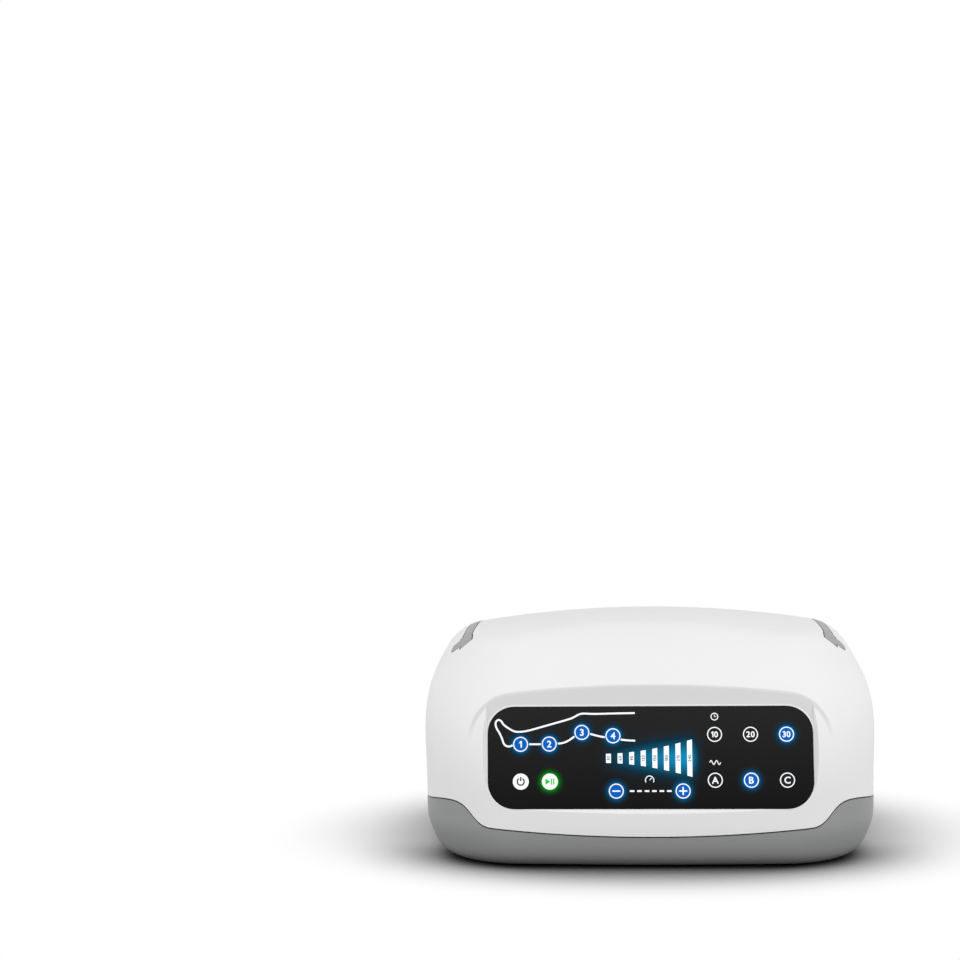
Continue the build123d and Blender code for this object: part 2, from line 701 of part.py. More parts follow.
with BuildPart() as housing_screws:
    with BuildSketch(Plane.XY.offset(FOOT_HEIGHT + SCREW_SINK)):
        with GridLocations(2 * POST_X, 2 * POST_Y, 2, 2):
            Circle(SCREW_DIAMETER / 2)
    extrude(amount=SCREW_LENGTH)
    with BuildSketch(Plane.XY.offset(FOOT_HEIGHT + SCREW_SINK)):
        with GridLocations(2 * POST_X, 2 * POST_Y, 2, 2):
            Circle(SCREW_HEAD / 2)
    extrude(amount=-SCREW_HEAD_HEIGHT)
    with BuildSketch(Plane.XY.offset(FOOT_HEIGHT + SCREW_SINK - SCREW_HEAD_HEIGHT)):
        with GridLocations(2 * POST_X, 2 * POST_Y, 2, 2):
            RegularPolygon(SCREW_DIAMETER / 2, 6)
    extrude(amount=SCREW_HEAD_HEIGHT / 2, mode=Mode.SUBTRACT)

with BuildPart() as filter_cover:
    with BuildSketch(Plane.XY.offset(FOOT_HEIGHT)):
        with Locations((FILTER_X, FILTER_Y)):
            Circle(FILTER_COVER / 2 - FILTER_FIT)
            with GridLocations(0, FILTER_SLOT_PITCH, 1, FILTER_SLOTS):
                SlotOverall(*FILTER_SLOT, mode=Mode.SUBTRACT)
    extrude(amount=FILTER_COVER_THICK)

with BuildPart() as air_filter:
    with BuildSketch(Plane.XY.offset(FOOT_HEIGHT + FILTER_COVER_THICK)):
        with Locations((FILTER_X, FILTER_Y)):
            Circle(FILTER_HOLE / 2 - FILTER_FIT)
    extrude(amount=FLOOR + FOOT_PAD - FOOT_HEIGHT - FILTER_COVER_THICK)

# ---------------------------------------------------------------- control panel and keys
with BuildPart() as control_panel:
    with BuildSketch(panel_plane):
        panel_outline(0)
    extrude(amount=-PANEL_THICK)
    chamfer(faces().sort_by(panel_axis)[-1].edges(), PANEL_EDGE)
    with BuildSketch(panel_plane.offset(-PANEL_THICK)):
        with Locations(*KEYS.values()):
            Circle(KEY_DIAMETER / 2 + KEY_GAP)
        for step in range(BAR_COUNT):
            light_bar(step, BAR_FIT)
    extrude(amount=PANEL_THICK, mode=Mode.SUBTRACT)

with BuildPart() as pressure_light_bars:
    with BuildSketch(panel_plane.offset(-PANEL_THICK)):
        for step in range(BAR_COUNT):
            light_bar(step, 0)
    extrude(amount=PANEL_THICK)

for key_name, key_place in KEYS.items():
    with BuildPart() as key:
        with BuildSketch(panel_plane.offset(-PANEL_THICK)):
            with Locations(key_place):
                Circle(KEY_DIAMETER / 2)
        extrude(amount=PANEL_THICK + KEY_PROUD)
        chamfer(faces().sort_by(panel_axis)[-1].edges(), KEY_EDGE)
        with BuildSketch(panel_plane.offset(-PANEL_THICK)):
            with Locations(key_place):
                Circle(KEY_DIAMETER / 2 + KEY_FLANGE)
        extrude(amount=-KEY_FLANGE_THICK)
        with BuildSketch(panel_plane.offset(-PANEL_THICK - KEY_FLANGE_THICK)):
            with Locations(key_place):
                Circle(KEY_STEM / 2)
        extrude(amount=-KEY_STEM_LENGTH)
    key.part.label = key_name
    export_step(key.part, f"parts/{key_name}.step")

with BuildPart() as display_board:
    with BuildSketch(panel_plane.offset(-BOARD_DEPTH)):
        RectangleRounded(BOARD_WIDTH, BOARD_HEIGHT, BOARD_CORNER)
        with GridLocations(2 * BOARD_SCREW_U, 2 * BOARD_SCREW_V, 2, 2):
            Circle(BOARD_SCREW / 2 + PIN_FIT, mode=Mode.SUBTRACT)
    extrude(amount=-BOARD_THICK)

with BuildPart() as key_switches:
    with BuildSketch(panel_plane.offset(-BOARD_DEPTH)):
        with Locations(*KEYS.values()):
            Rectangle(SWITCH_SIZE, SWITCH_SIZE)
    extrude(amount=SWITCH_HEIGHT / 2)
    with BuildSketch(panel_plane.offset(-BOARD_DEPTH + SWITCH_HEIGHT / 2)):
        with Locations(*KEYS.values()):
            Circle(KEY_STEM / 2)
    extrude(amount=SWITCH_HEIGHT / 2)

with BuildPart() as display_screws:
    with BuildSketch(panel_plane.offset(-BOARD_DEPTH - BOARD_THICK)):
        with GridLocations(2 * BOARD_SCREW_U, 2 * BOARD_SCREW_V, 2, 2):
            Circle(BOARD_SCREW)
    extrude(amount=-BOARD_THICK)
    with BuildSketch(panel_plane.offset(-BOARD_DEPTH - BOARD_THICK)):
        with GridLocations(2 * BOARD_SCREW_U, 2 * BOARD_SCREW_V, 2, 2):
            Circle(BOARD_SCREW / 2)
    extrude(amount=BOARD_DEPTH - PANEL_THICK - BACKING)

# ---------------------------------------------------------------- connectors on the rear plate
with BuildPart() as mains_inlet:
    with BuildSketch(rear_plane):
        with Locations((-INLET_X, 0)):
            RectangleRounded(*INLET_FLANGE, CONNECTOR_CORNER)
    extrude(amount=FLANGE_THICK)
    with BuildSketch(rear_plane):
        with Locations((-INLET_X, 0)):
            RectangleRounded(*INLET_BODY, CONNECTOR_CORNER)
    extrude(amount=-INLET_LENGTH)
    with BuildSketch(rear_plane.offset(FLANGE_THICK)):
        with Locations((-INLET_X, 0)):
            SlotOverall(*INLET_SOCKET)
    extrude(amount=-FLANGE_THICK - INLET_SOCKET_DEPTH, mode=Mode.SUBTRACT)
    with BuildSketch(rear_plane.offset(-INLET_LENGTH)):
        with Locations((-INLET_X, 0)):
            with GridLocations(INLET_PIN_PITCH, 0, 2, 1):
                Circle(INLET_PIN / 2)
    extrude(amount=INLET_LENGTH - INLET_SOCKET_DEPTH, mode=Mode.SUBTRACT)

with BuildPart() as inlet_pins:
    with BuildSketch(rear_plane.offset(-INLET_LENGTH - INLET_TAIL)):
        with Locations((-INLET_X, 0)):
            with GridLocations(INLET_PIN_PITCH, 0, 2, 1):
                Circle(INLET_PIN / 2)
    extrude(amount=INLET_TAIL + INLET_LENGTH - INLET_SOCKET_DEPTH + INLET_PIN_LENGTH)
    chamfer(faces().sort_by(Axis.Y)[-2:].edges(), INLET_PIN / 4)

outlets = {}
for outlet_name, row in zip(("air_outlet_left", "air_outlet_right"), reversed(OUTLET_ROWS)):
    with BuildPart() as outlets[outlet_name]:
        with BuildSketch(rear_plane):
            with Locations((-OUTLET_X, row)):
                RectangleRounded(*OUTLET_FLANGE, CONNECTOR_CORNER)
        extrude(amount=FLANGE_THICK)
        with BuildSketch(rear_plane):
            with Locations((-OUTLET_X, row)):
                RectangleRounded(*OUTLET_BODY, CONNECTOR_CORNER)
        extrude(amount=-OUTLET_LENGTH)
        with BuildSketch(rear_plane.offset(FLANGE_THICK)):
            with Locations((-OUTLET_X, row)):
                with GridLocations(OUTLET_PITCH, 0, OUTLET_COUNT, 1):
                    Circle(OUTLET_BORE / 2)
        extrude(amount=-FLANGE_THICK - OUTLET_LENGTH, mode=Mode.SUBTRACT)

# ---------------------------------------------------------------- air path
with BuildPart() as valve_manifold:
    with BuildSketch(Plane.XY.offset(MANIFOLD_Z)):
        with Locations((OUTLET_X, MANIFOLD_Y)):
            RectangleRounded(MANIFOLD_WIDTH, MANIFOLD_DEPTH, CONNECTOR_CORNER)
    extrude(amount=MANIFOLD_HEIGHT)
    with BuildSketch(Plane.XY.offset(MANIFOLD_Z + MANIFOLD_HEIGHT)):
        with Locations((OUTLET_X, MANIFOLD_Y)):
            with GridLocations(OUTLET_PITCH, 0, OUTLET_COUNT, 1):
                Circle(CHANNEL_BORE / 2)
    extrude(amount=-MANIFOLD_HEIGHT + CHANNEL_FLOOR, mode=Mode.SUBTRACT)
    with BuildSketch(rear_plane.offset(-OUTLET_LENGTH - MANIFOLD_GAP)):
        with Locations(*[(-OUTLET_X, row) for row in OUTLET_ROWS]):
            with GridLocations(OUTLET_PITCH, 0, OUTLET_COUNT, 1):
                Circle(TUBE_BORE / 2)
    extrude(amount=-MANIFOLD_DEPTH / 2, mode=Mode.SUBTRACT)

with BuildPart() as outlet_tubes:
    with BuildSketch(rear_plane.offset(-OUTLET_LENGTH - MANIFOLD_GAP)):
        with Locations(*[(-OUTLET_X, row) for row in OUTLET_ROWS]):
            with GridLocations(OUTLET_PITCH, 0, OUTLET_COUNT, 1):
                Circle(TUBE_DIAMETER / 2)
                Circle(TUBE_BORE / 2, mode=Mode.SUBTRACT)
    extrude(amount=MANIFOLD_GAP)

with BuildPart() as valve_coils:
    with BuildSketch(Plane.XY.offset(MANIFOLD_Z + MANIFOLD_HEIGHT)):
        with Locations((OUTLET_X, MANIFOLD_Y)):
            with GridLocations(OUTLET_PITCH, 0, OUTLET_COUNT, 1):
                Rectangle(VALVE_SIZE[0], VALVE_SIZE[1])
    extrude(amount=VALVE_SIZE[2])
    with BuildSketch(Plane.XY.offset(MANIFOLD_Z + MANIFOLD_HEIGHT)):
        with Locations((OUTLET_X, MANIFOLD_Y)):
            with GridLocations(OUTLET_PITCH, 0, OUTLET_COUNT, 1):
                Circle(PLUNGER_DIAMETER / 2 + PIN_FIT)
    extrude(amount=VALVE_SIZE[2] - VALVE_ROOF, mode=Mode.SUBTRACT)

plungers = {}
for number in range(OUTLET_COUNT):
    plunger_x = OUTLET_X + (number - (OUTLET_COUNT - 1) / 2) * OUTLET_PITCH
    with BuildPart() as plungers[f"valve_plunger_{number + 1}"]:
        with BuildSketch(Plane.XY.offset(MANIFOLD_Z + MANIFOLD_HEIGHT)):
            with Locations((plunger_x, MANIFOLD_Y)):
                Circle(PLUNGER_DIAMETER / 2)
        extrude(amount=PLUNGER_LENGTH)
        chamfer(faces().sort_by(Axis.Z)[-1].edges(), PLUNGER_DIAMETER / 8)

# ---------------------------------------------------------------- compressor
pump_plane = Plane(origin=(PUMP_X, PUMP_Y, 0), x_dir=(1, 0, 0), z_dir=(0, -1, 0))
PLATE_FACE = PUMP_SPAN / 2 + PUMP_SHEET

with BuildPart() as compressor_frame:
    # A bracket bent from sheet, with a bush hole for the rod in each end plate.
    with BuildSketch(pump_plane.offset(-PUMP_DEPTH / 2)):
        with Locations((0, (PUMP_FLOOR + PUMP_AXIS_Z + PUMP_TOP) / 2)):
            Rectangle(2 * PLATE_FACE, PUMP_AXIS_Z + PUMP_TOP - PUMP_FLOOR)
        fillet(vertices().group_by(Axis.Y)[0], 2 * PUMP_SHEET)
        with BuildSketch(mode=Mode.PRIVATE) as inside:
            with Locations((0, (PUMP_FLOOR + PUMP_SHEET + PUMP_AXIS_Z + PUMP_TOP + MARGIN) / 2)):
                Rectangle(PUMP_SPAN, PUMP_AXIS_Z + PUMP_TOP - PUMP_FLOOR - PUMP_SHEET + MARGIN)
            fillet(vertices().group_by(Axis.Y)[0], PUMP_SHEET)
        add(inside.sketch, mode=Mode.SUBTRACT)
    extrude(amount=PUMP_DEPTH)
    with BuildSketch(Plane(origin=(PUMP_X - PLATE_FACE, PUMP_Y, PUMP_AXIS_Z), z_dir=(1, 0, 0))):
        Circle(ROD_DIAMETER / 2 + ROD_FIT)
    extrude(amount=2 * PLATE_FACE, mode=Mode.SUBTRACT)
    with BuildSketch(Plane.XY.offset(PUMP_FLOOR + PUMP_SHEET)):
        with Locations((PUMP_X, PUMP_Y)):
            with GridLocations(0, 2 * CORE_MIDDLE, 1, 2):
                Rectangle(2 * CORE_LEG_PITCH + CORE_LEG, CORE_BACK)
    extrude(amount=PUMP_AXIS_Z - CORE_HEIGHT / 2 - PUMP_FLOOR - PUMP_SHEET)

with BuildPart() as isolators:
    with BuildSketch(Plane.XY.offset(FLOOR + ISOLATOR_BOSS)):
        with Locations((PUMP_X, PUMP_Y)):
            with GridLocations(2 * ISOLATOR_X, 2 * ISOLATOR_Y, 2, 2):
                Circle(ISOLATOR_DIAMETER / 2)
    extrude(amount=ISOLATOR_HEIGHT)

with BuildPart() as magnet_cores:
    with BuildSketch(Plane.XY.offset(PUMP_AXIS_Z - CORE_HEIGHT / 2)):
        with Locations((PUMP_X, PUMP_Y)):
            with GridLocations(0, 2 * CORE_MIDDLE, 1, 2):
                Rectangle(2 * CORE_LEG_PITCH + CORE_LEG, CORE_BACK)
            with GridLocations(CORE_LEG_PITCH, 2 * LEG_MIDDLE, 3, 2):
                Rectangle(CORE_LEG, CORE_LEG_LENGTH)
    extrude(amount=CORE_HEIGHT)

with BuildPart() as drive_coils:
    with BuildSketch(pump_plane.offset(-LEG_MIDDLE - COIL_LENGTH / 2)):
        coil_ring()
    extrude(amount=COIL_LENGTH)
    with BuildSketch(pump_plane.offset(LEG_MIDDLE - COIL_LENGTH / 2)):
        coil_ring()
    extrude(amount=COIL_LENGTH)

with BuildPart() as armature:
    with Locations((PUMP_X, PUMP_Y, PUMP_AXIS_Z)):
        Box(*ARMATURE_SIZE)
        Cylinder(ROD_DIAMETER / 2, 2 * ROD_REACH, rotation=(0, 90, 0))
    for side in (-1, 1):
        with BuildSketch(
            Plane(
                origin=(PUMP_X + side * ROD_REACH, PUMP_Y, PUMP_AXIS_Z), z_dir=(-side, 0, 0)
            )
        ):
            Circle(ARMATURE_PLATE / 2)
        extrude(amount=ARMATURE_PLATE_THICK)

with BuildPart() as armature_magnets:
    with BuildSketch(Plane.XY.offset(PUMP_AXIS_Z - MAGNET_SIZE[2] / 2)):
        with Locations((PUMP_X, PUMP_Y)):
            with GridLocations(MAGNET_PITCH, ARMATURE_SIZE[1] + MAGNET_SIZE[1], 2, 2):
                Rectangle(MAGNET_SIZE[0], MAGNET_SIZE[1])
    extrude(amount=MAGNET_SIZE[2])

groove_pitch = HEAD_LENGTH / (HEAD_RIBS + 1)
diaphragms = {}
heads = {}
for side, side_name in ((-1, "left"), (1, "right")):
    plate_plane = Plane(
        origin=(PUMP_X + side * PLATE_FACE, PUMP_Y, PUMP_AXIS_Z),
        x_dir=(0, 1, 0),
        z_dir=(side, 0, 0),
    )
    head_middle = PUMP_X + side * (PLATE_FACE + DIAPHRAGM_THICK + HEAD_LENGTH / 2)
    with BuildPart() as diaphragms[f"diaphragm_{side_name}"]:
        with BuildSketch(plate_plane):
            Circle(DIAPHRAGM_DIAMETER / 2)
            Circle(DIAPHRAGM_HOLE / 2, mode=Mode.SUBTRACT)
        extrude(amount=DIAPHRAGM_THICK)
    with BuildPart() as heads[f"pump_head_{side_name}"]:
        with BuildSketch(plate_plane.offset(DIAPHRAGM_THICK)):
            Circle(HEAD_DIAMETER / 2)
        extrude(amount=HEAD_LENGTH)
        # Cooling grooves round the head, then the chamber and the delivery nozzle on top.
        for rib in range(HEAD_RIBS):
            with BuildSketch(plate_plane.offset(DIAPHRAGM_THICK + groove_pitch * (rib + 0.5))):
                Circle(HEAD_DIAMETER / 2)
                Circle(HEAD_DIAMETER / 2 - HEAD_WALL / 2, mode=Mode.SUBTRACT)
            extrude(amount=groove_pitch / 2, mode=Mode.SUBTRACT)
        with BuildSketch(plate_plane.offset(DIAPHRAGM_THICK)):
            Circle(HEAD_CHAMBER / 2)
        extrude(amount=HEAD_LENGTH - HEAD_WALL, mode=Mode.SUBTRACT)
        with BuildSketch(Plane.XY.offset(PUMP_AXIS_Z + HEAD_CHAMBER / 2 + NOZZLE_ROOT)):
            with Locations((head_middle, PUMP_Y)):
                Circle(TUBE_BORE / 2)
        extrude(amount=HEAD_DIAMETER / 2 - HEAD_CHAMBER / 2 - NOZZLE_ROOT + NOZZLE_LENGTH)

with BuildPart() as supply_tubes:
    for side in (-1, 1):
        head_x = PUMP_X + side * (PLATE_FACE + DIAPHRAGM_THICK + HEAD_LENGTH / 2)
        start_z = PUMP_AXIS_Z + HEAD_DIAMETER / 2 + TUBE_SEAT
        port_x = OUTLET_X - MANIFOLD_WIDTH / 2
        port_y = MANIFOLD_Y - side * TUBE_PITCH / 2
        port_z = MANIFOLD_Z + MANIFOLD_HEIGHT / 2
        with BuildLine() as route:
            FilletPolyline(
                (head_x, PUMP_Y, start_z),
                (head_x, PUMP_Y, port_z + TUBE_ARCH),
                (port_x - TUBE_LEAD, port_y, port_z + TUBE_ARCH),
                (port_x - TUBE_LEAD, port_y, port_z),
                (port_x, port_y, port_z),
                radius=TUBE_BEND,
            )
        with BuildSketch(Plane.XY.offset(start_z)):
            with Locations((head_x, PUMP_Y)):
                Circle(TUBE_DIAMETER / 2)
        sweep(path=route.wire())
        with BuildSketch(Plane.XY.offset(start_z)):
            with Locations((head_x, PUMP_Y)):
                Circle(TUBE_BORE / 2 + PIN_FIT)
        sweep(path=route.wire(), mode=Mode.SUBTRACT)

# ---------------------------------------------------------------- mains and control electronics
with BuildPart() as main_board:
    with BuildSketch(board_plane):
        Rectangle(*MAIN_BOARD)
    extrude(amount=-BOARD_THICK)

with BuildPart() as power_transformer:
    with BuildSketch(board_plane):
        with Locations(TRANSFORMER_PLACE):
            Rectangle(TRANSFORMER_SIZE[0], TRANSFORMER_SIZE[1])
    extrude(amount=TRANSFORMER_SIZE[2])
    chamfer(edges().filter_by(Axis.Z), TRANSFORMER_CHAMFER)

with BuildPart() as board_components:
    with BuildSketch(board_plane):
        with Locations(*CAPACITOR_PLACES):
            Circle(CAPACITOR_DIAMETER / 2)
    extrude(amount=CAPACITOR_HEIGHT)
    with BuildSketch(board_plane):
        with Locations(*CHIP_PLACES):
            Rectangle(CHIP_SIZE, CHIP_SIZE)
    extrude(amount=CHIP_HEIGHT)
    with BuildSketch(board_plane):
        with Locations(*PLUG_PLACES):
            Rectangle(PLUG_SIZE[0], PLUG_SIZE[1])
    extrude(amount=PLUG_SIZE[2])

with BuildPart() as buzzer:
    with BuildSketch(board_plane):
        with Locations(BUZZER_PLACE):
            Circle(BUZZER_DIAMETER / 2)
    extrude(amount=BUZZER_HEIGHT)
    with BuildSketch(board_plane.offset(BUZZER_HEIGHT)):
        with Locations(BUZZER_PLACE):
            Circle(BUZZER_HOLE / 2)
    extrude(amount=-BUZZER_HEIGHT / 2, mode=Mode.SUBTRACT)

with BuildPart() as pressure_sensor:
    with BuildSketch(board_plane):
        with Locations(SENSOR_PLACE):
            Rectangle(SENSOR_SIZE, SENSOR_SIZE)
    extrude(amount=SENSOR_HEIGHT)
    with BuildSketch(board_plane.offset(SENSOR_HEIGHT)):
        with Locations(SENSOR_PLACE):
            Circle(SENSOR_NOZZLE / 2)
            Circle(SENSOR_BORE / 2, mode=Mode.SUBTRACT)
    extrude(amount=SENSOR_HEIGHT)

# ---------------------------------------------------------------- export
pieces = {
    "upper_shell": upper_shell,
    "lower_shell": lower_shell,
    "seam_gasket": seam_gasket,
    "rubber_feet": rubber_feet,
    "housing_screws": housing_screws,
    "filter_cover": filter_cover,
    "air_filter": air_filter,
    "carry_handle": carry_handle,
    "handle_pins": handle_pins,
    "control_panel": control_panel,
    "pressure_light_bars": pressure_light_bars,
    "display_board": display_board,
    "key_switches": key_switches,
    "display_screws": display_screws,
    "mains_inlet": mains_inlet,
    "inlet_pins": inlet_pins,
    "valve_manifold": valve_manifold,
    "outlet_tubes": outlet_tubes,
    "valve_coils": valve_coils,
    "compressor_frame": compressor_frame,
    "isolators": isolators,
    "magnet_cores": magnet_cores,
    "drive_coils": drive_coils,
    "armature": armature,
    "armature_magnets": armature_magnets,
    "supply_tubes": supply_tubes,
    "main_board": main_board,
    "power_transformer": power_transformer,
    "board_components": board_components,
    "buzzer": buzzer,
    "pressure_sensor": pressure_sensor,
    **outlets,
    **plungers,
    **diaphragms,
    **heads,
}
for piece_name, piece in pieces.items():
    piece.part.label = piece_name
    export_step(piece.part, f"parts/{piece_name}.step")
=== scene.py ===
"""Looks of the compression therapy pump: materials, lit key marks, light scale, floor, light and camera.

Metres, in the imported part's frame: X to the right, +Y to the back, +Z up, the key panel looking along -Y.
Flat work on the panel is drawn in millimetres: u to the right of the panel's middle, v above it.
"""

import json
import math

import bmesh
import bpy
from mathutils import Matrix, Vector


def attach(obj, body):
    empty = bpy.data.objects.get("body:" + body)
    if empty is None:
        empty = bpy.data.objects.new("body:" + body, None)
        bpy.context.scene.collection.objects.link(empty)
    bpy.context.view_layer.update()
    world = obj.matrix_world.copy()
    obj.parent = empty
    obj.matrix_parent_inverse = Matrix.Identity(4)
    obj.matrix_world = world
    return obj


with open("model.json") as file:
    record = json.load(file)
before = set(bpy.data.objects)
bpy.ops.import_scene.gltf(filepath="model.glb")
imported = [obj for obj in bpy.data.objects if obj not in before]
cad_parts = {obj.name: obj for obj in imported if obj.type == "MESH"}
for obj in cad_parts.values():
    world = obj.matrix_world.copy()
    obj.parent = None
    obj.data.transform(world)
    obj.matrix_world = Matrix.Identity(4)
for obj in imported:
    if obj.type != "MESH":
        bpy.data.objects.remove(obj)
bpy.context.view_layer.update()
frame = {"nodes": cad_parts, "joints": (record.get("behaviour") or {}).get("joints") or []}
MM = 0.001

# ---------------------------------------------------------------- colours
WHITE_SHELL = (0.85, 0.85, 0.85)
GREY_SHELL = (0.292, 0.294, 0.297)
HANDLE_GREY = (0.35, 0.354, 0.36)
BLACK_PLASTIC = (0.018, 0.018, 0.019)
DARK_PARTS = (0.035, 0.035, 0.038)
CONNECTOR_GREY = (0.26, 0.27, 0.28)
ACETAL_WHITE = (0.68, 0.68, 0.66)
POTTING_BLUE = (0.02, 0.035, 0.10)
SEAL_BLACK = (0.006, 0.006, 0.006)
FOOT_BLACK = (0.02, 0.02, 0.021)
SILICONE = (0.55, 0.58, 0.58)
FOAM_GREY = (0.03, 0.03, 0.032)
BOARD_DARK = (0.004, 0.11, 0.045)
BOARD_LIGHT = (0.006, 0.14, 0.055)
BOARD_TRACK = (0.02, 0.24, 0.10)
ZINC = (0.6, 0.6, 0.62)
BRASS = (0.78, 0.66, 0.40)
ALLOY = (0.72, 0.73, 0.75)
NICKEL = (0.5, 0.5, 0.52)
IRON = (0.16, 0.16, 0.17)
COPPER = (0.75, 0.30, 0.12)
# The panel's black at its bottom and at its top; the lighter top is a painted sheen.
PANEL_PAINTED_SHEEN_LOW = (0.0035, 0.0036, 0.0038)
PANEL_PAINTED_SHEEN_HIGH = (0.016, 0.016, 0.0165)
KEY_BLACK = (0.004, 0.004, 0.005)
KEY_BLUE = (0.001, 0.105, 0.46)
GLOW_BLUE = (0.0, 0.113, 0.237)
GLOW_GREEN = (0.0, 0.36, 0.01)
GLOW_BARS = (0.0, 0.52, 1.0)
MARK_WHITE = (0.92, 0.95, 1.0)
POWER_WHITE = (0.93, 0.93, 0.93)
MARK_BLACK = (0.01, 0.01, 0.012)
START_GREEN = (0.02, 0.55, 0.04)
BAR_INK = (0.01, 0.09, 0.15)

# ---------------------------------------------------------------- surface detail
# Scales are in cycles per metre and depths in metres.
# Tones and glosses are shares of a colour or a roughness, low and high.
TONE_SCALE = 22.0
GLOSS_SCALE = 140.0
PLASTIC_GLOSS = (0.88, 1.12)
METAL_SCALE = 90.0
METAL_TONE = (0.85, 1.08)
METAL_GLOSS = (0.7, 1.3)
METAL_DEPTH = 0.00002
RUBBER_PITS = 1500.0
RUBBER_SCALE = 60.0
RUBBER_TONE = (0.8, 1.35)
RUBBER_GLOSS = (0.85, 1.15)
RUBBER_DEPTH = 0.00008
FOAM_CELLS = 1100.0
FOAM_TONE = (0.3, 2.0)
FOAM_DEPTH = 0.0006
TRACK_SCALE = 160.0
TRACK_WIDTH = 0.03
TRACK_DEPTH = 0.00004
BOARD_GLOSS_SCALE = 300.0
BOARD_ROUGHNESS = (0.28, 0.42)
WIRE_TURNS = 500.0
WIRE_WANDER = 0.6
WIRE_TONE = (0.35, 1.1)
WIRE_DEPTH = 0.0003
LIT_PATCHES = 700.0
LIT_MOTTLE = (0.94, 1.06)
LIT_BODY = (0.25, 0.3)
LIT_SPECULAR = 0.06
PANEL_DRIFT_SCALE = 35.0
PANEL_DRIFT = 0.12
PANEL_GLOSS_SCALE = 260.0
PANEL_ROUGHNESS = (0.16, 0.22)
PANEL_SPECULAR = 0.07
GRAIN_DETAIL = (4.0, 0.6)
PIT_DETAIL = (5.0, 0.65)
SHELL_FINISH = dict(roughness=0.45, grain=1900.0, depth=0.000015, strength=0.18, specular=0.06, spread=0.008)
BASE_FINISH = dict(roughness=0.5, grain=1700.0, depth=0.00004, strength=0.3, specular=0.4)
HANDLE_FINISH = dict(roughness=0.45, grain=1800.0, depth=0.00003, strength=0.25, specular=0.4)
KEY_FINISH = dict(roughness=0.2, specular=0.2)
STEEL_FINISH = dict(roughness=0.3, brush=(1.0, 0.08, 1.0))
ALLOY_FINISH = dict(roughness=0.28, brush=(0.08, 1.0, 1.0))
IRON_FINISH = dict(roughness=0.5, brush=(1.0, 1.0, 0.05), grain=2600.0, strength=0.6)

# ---------------------------------------------------------------- strength of what is lit
BAR_LIGHT = 0.92
KEY_LIGHT = 0.9
WHITE_KEY_LIGHT = 0.85
RING_LIGHT = 0.9
MARK_LIGHT = 0.9
START_LIGHT = 0.8
PRINT_LIGHT = 0.85

# ---------------------------------------------------------------- floor, light and background
FLOOR_WHITE = (0.93, 0.93, 0.93)
FLOOR_BOUNCE = (0.36, 0.36, 0.36)
FLOOR_REACH = 6.0
FLOOR_ROUGHNESS = 0.8
FLOOR_SPECULAR = 0.1
FADE_SHAPE = (0.72, 1.0, 1.0)
FADE_SPAN = (0.10, 0.168)
CONTACT_REACH = 0.06
CONTACT_SAMPLES = 8
CONTACT_FRONT = 2.0
CONTACT_SIDE = 0.5
CONTACT_TURN = (-0.085, -0.02)
WORLD_STRENGTH = 0.74
LEFT_LIGHT_POWER = 8.2
RIGHT_LIGHT_POWER = 10.0
LIGHT_OUT = 1.3
LIGHT_FRONT = 1.0
LIGHT_HEIGHT = 0.5
LIGHT_AIM = Vector((0, 0, 0.06))
LIGHT_SIZE = 1.0

# ---------------------------------------------------------------- camera
CAMERA_PLACE = Vector((-0.0197, -1.2242, 0.2814))
CAMERA_YAW = math.radians(-3.612)
CAMERA_PITCH = math.radians(-3.319)
CAMERA_ROLL = math.radians(-0.831)
CAMERA_LENS = 77.90
CAMERA_NEAR = 0.05
SENSOR_WIDTH = 36.0

# ---------------------------------------------------------------- the panel and its glow
# In millimetres, but POCKET_PAINTED_SHADE, GLOW_FALL, GLOW_FULL, BAR_GLOW_SPREAD, BAR_GLOW_LEVEL and BAR_GLOW_LEAST
# have no unit, and BAR_GLOW_RISE is per millimetre.
PANEL_SPAN = 55.7
PANEL_REACH = 89.0
PANEL_ROUND = 14.6
# Where and how deep the painted shade lies on the pocket's floor above the panel, the last as a share of the
# shell's colour.
POCKET_RIM = (0.6, 1.6)
POCKET_TURN = (8.0, 24.0)
POCKET_DEEP = (0.25, 0.7)
POCKET_PAINTED_SHADE = 0.82
KEY_GLOW_REACH = 5.45
START_GLOW_REACH = 5.4
GLOW_FALL = 4.0
GLOW_FULL = 0.06
BAR_GLOW_WIDTH = 6.4
BAR_GLOW_SPREAD = 0.055
BAR_GLOW_LEVEL = 0.29
BAR_GLOW_LEAST = 0.05
BAR_GLOW_RISE = 0.0115
BAR_GLOW_HALF = 21.0
BAR_GLOW_END = 4.0
BAR_GAP_LEAST = 3.2
SKIN = 0.02

# ---------------------------------------------------------------- marks on the keys
# In millimetres and degrees. LETTER_GAP and ONE_OUTLINE are shares of a letter's height, PAIR_SHARE is one
# of NUMBER_HEIGHT, and CAPITAL_SHARE is a capital's height over the font's size.
RING_OUTER = 4.1
RING_WIDTH = 0.56
RING_LIFT = 0.10
MARK_LIFT = 0.06
NUMBER_HEIGHT = 3.7
NUMBER_BOLD = 0.10
PAIR_SHARE = 0.86
LETTER_GAP = 0.11
CAPITAL_SHARE = 0.72
LETTER_STEPS = 4
ONE_OUTLINE = ((0.0, 0.0), (0.19, 0.0), (0.19, 1.0), (0.03, 1.0), (-0.2, 0.76), (-0.2, 0.6), (0.0, 0.74))
SIGN_HALF = 2.2
SIGN_WIDTH = 0.75
POWER_RADIUS = 1.9
POWER_ARC = (120, 420)
POWER_STEM = ((0, 0.3), (0, 2.6))
POWER_WIDTH = 0.78
START_HALF = 1.7
START_TRIANGLE = (-2.4, 0.3)
PAUSE_BARS = ((0.6, 1.3), (1.8, 2.5))
WHITE_KEYS = ("key_power", "key_start")
LIT_KEYS = (
    "key_position_1",
    "key_position_2",
    "key_position_3",
    "key_position_4",
    "key_minus",
    "key_plus",
    "key_time_30",
    "key_mode_b",
)
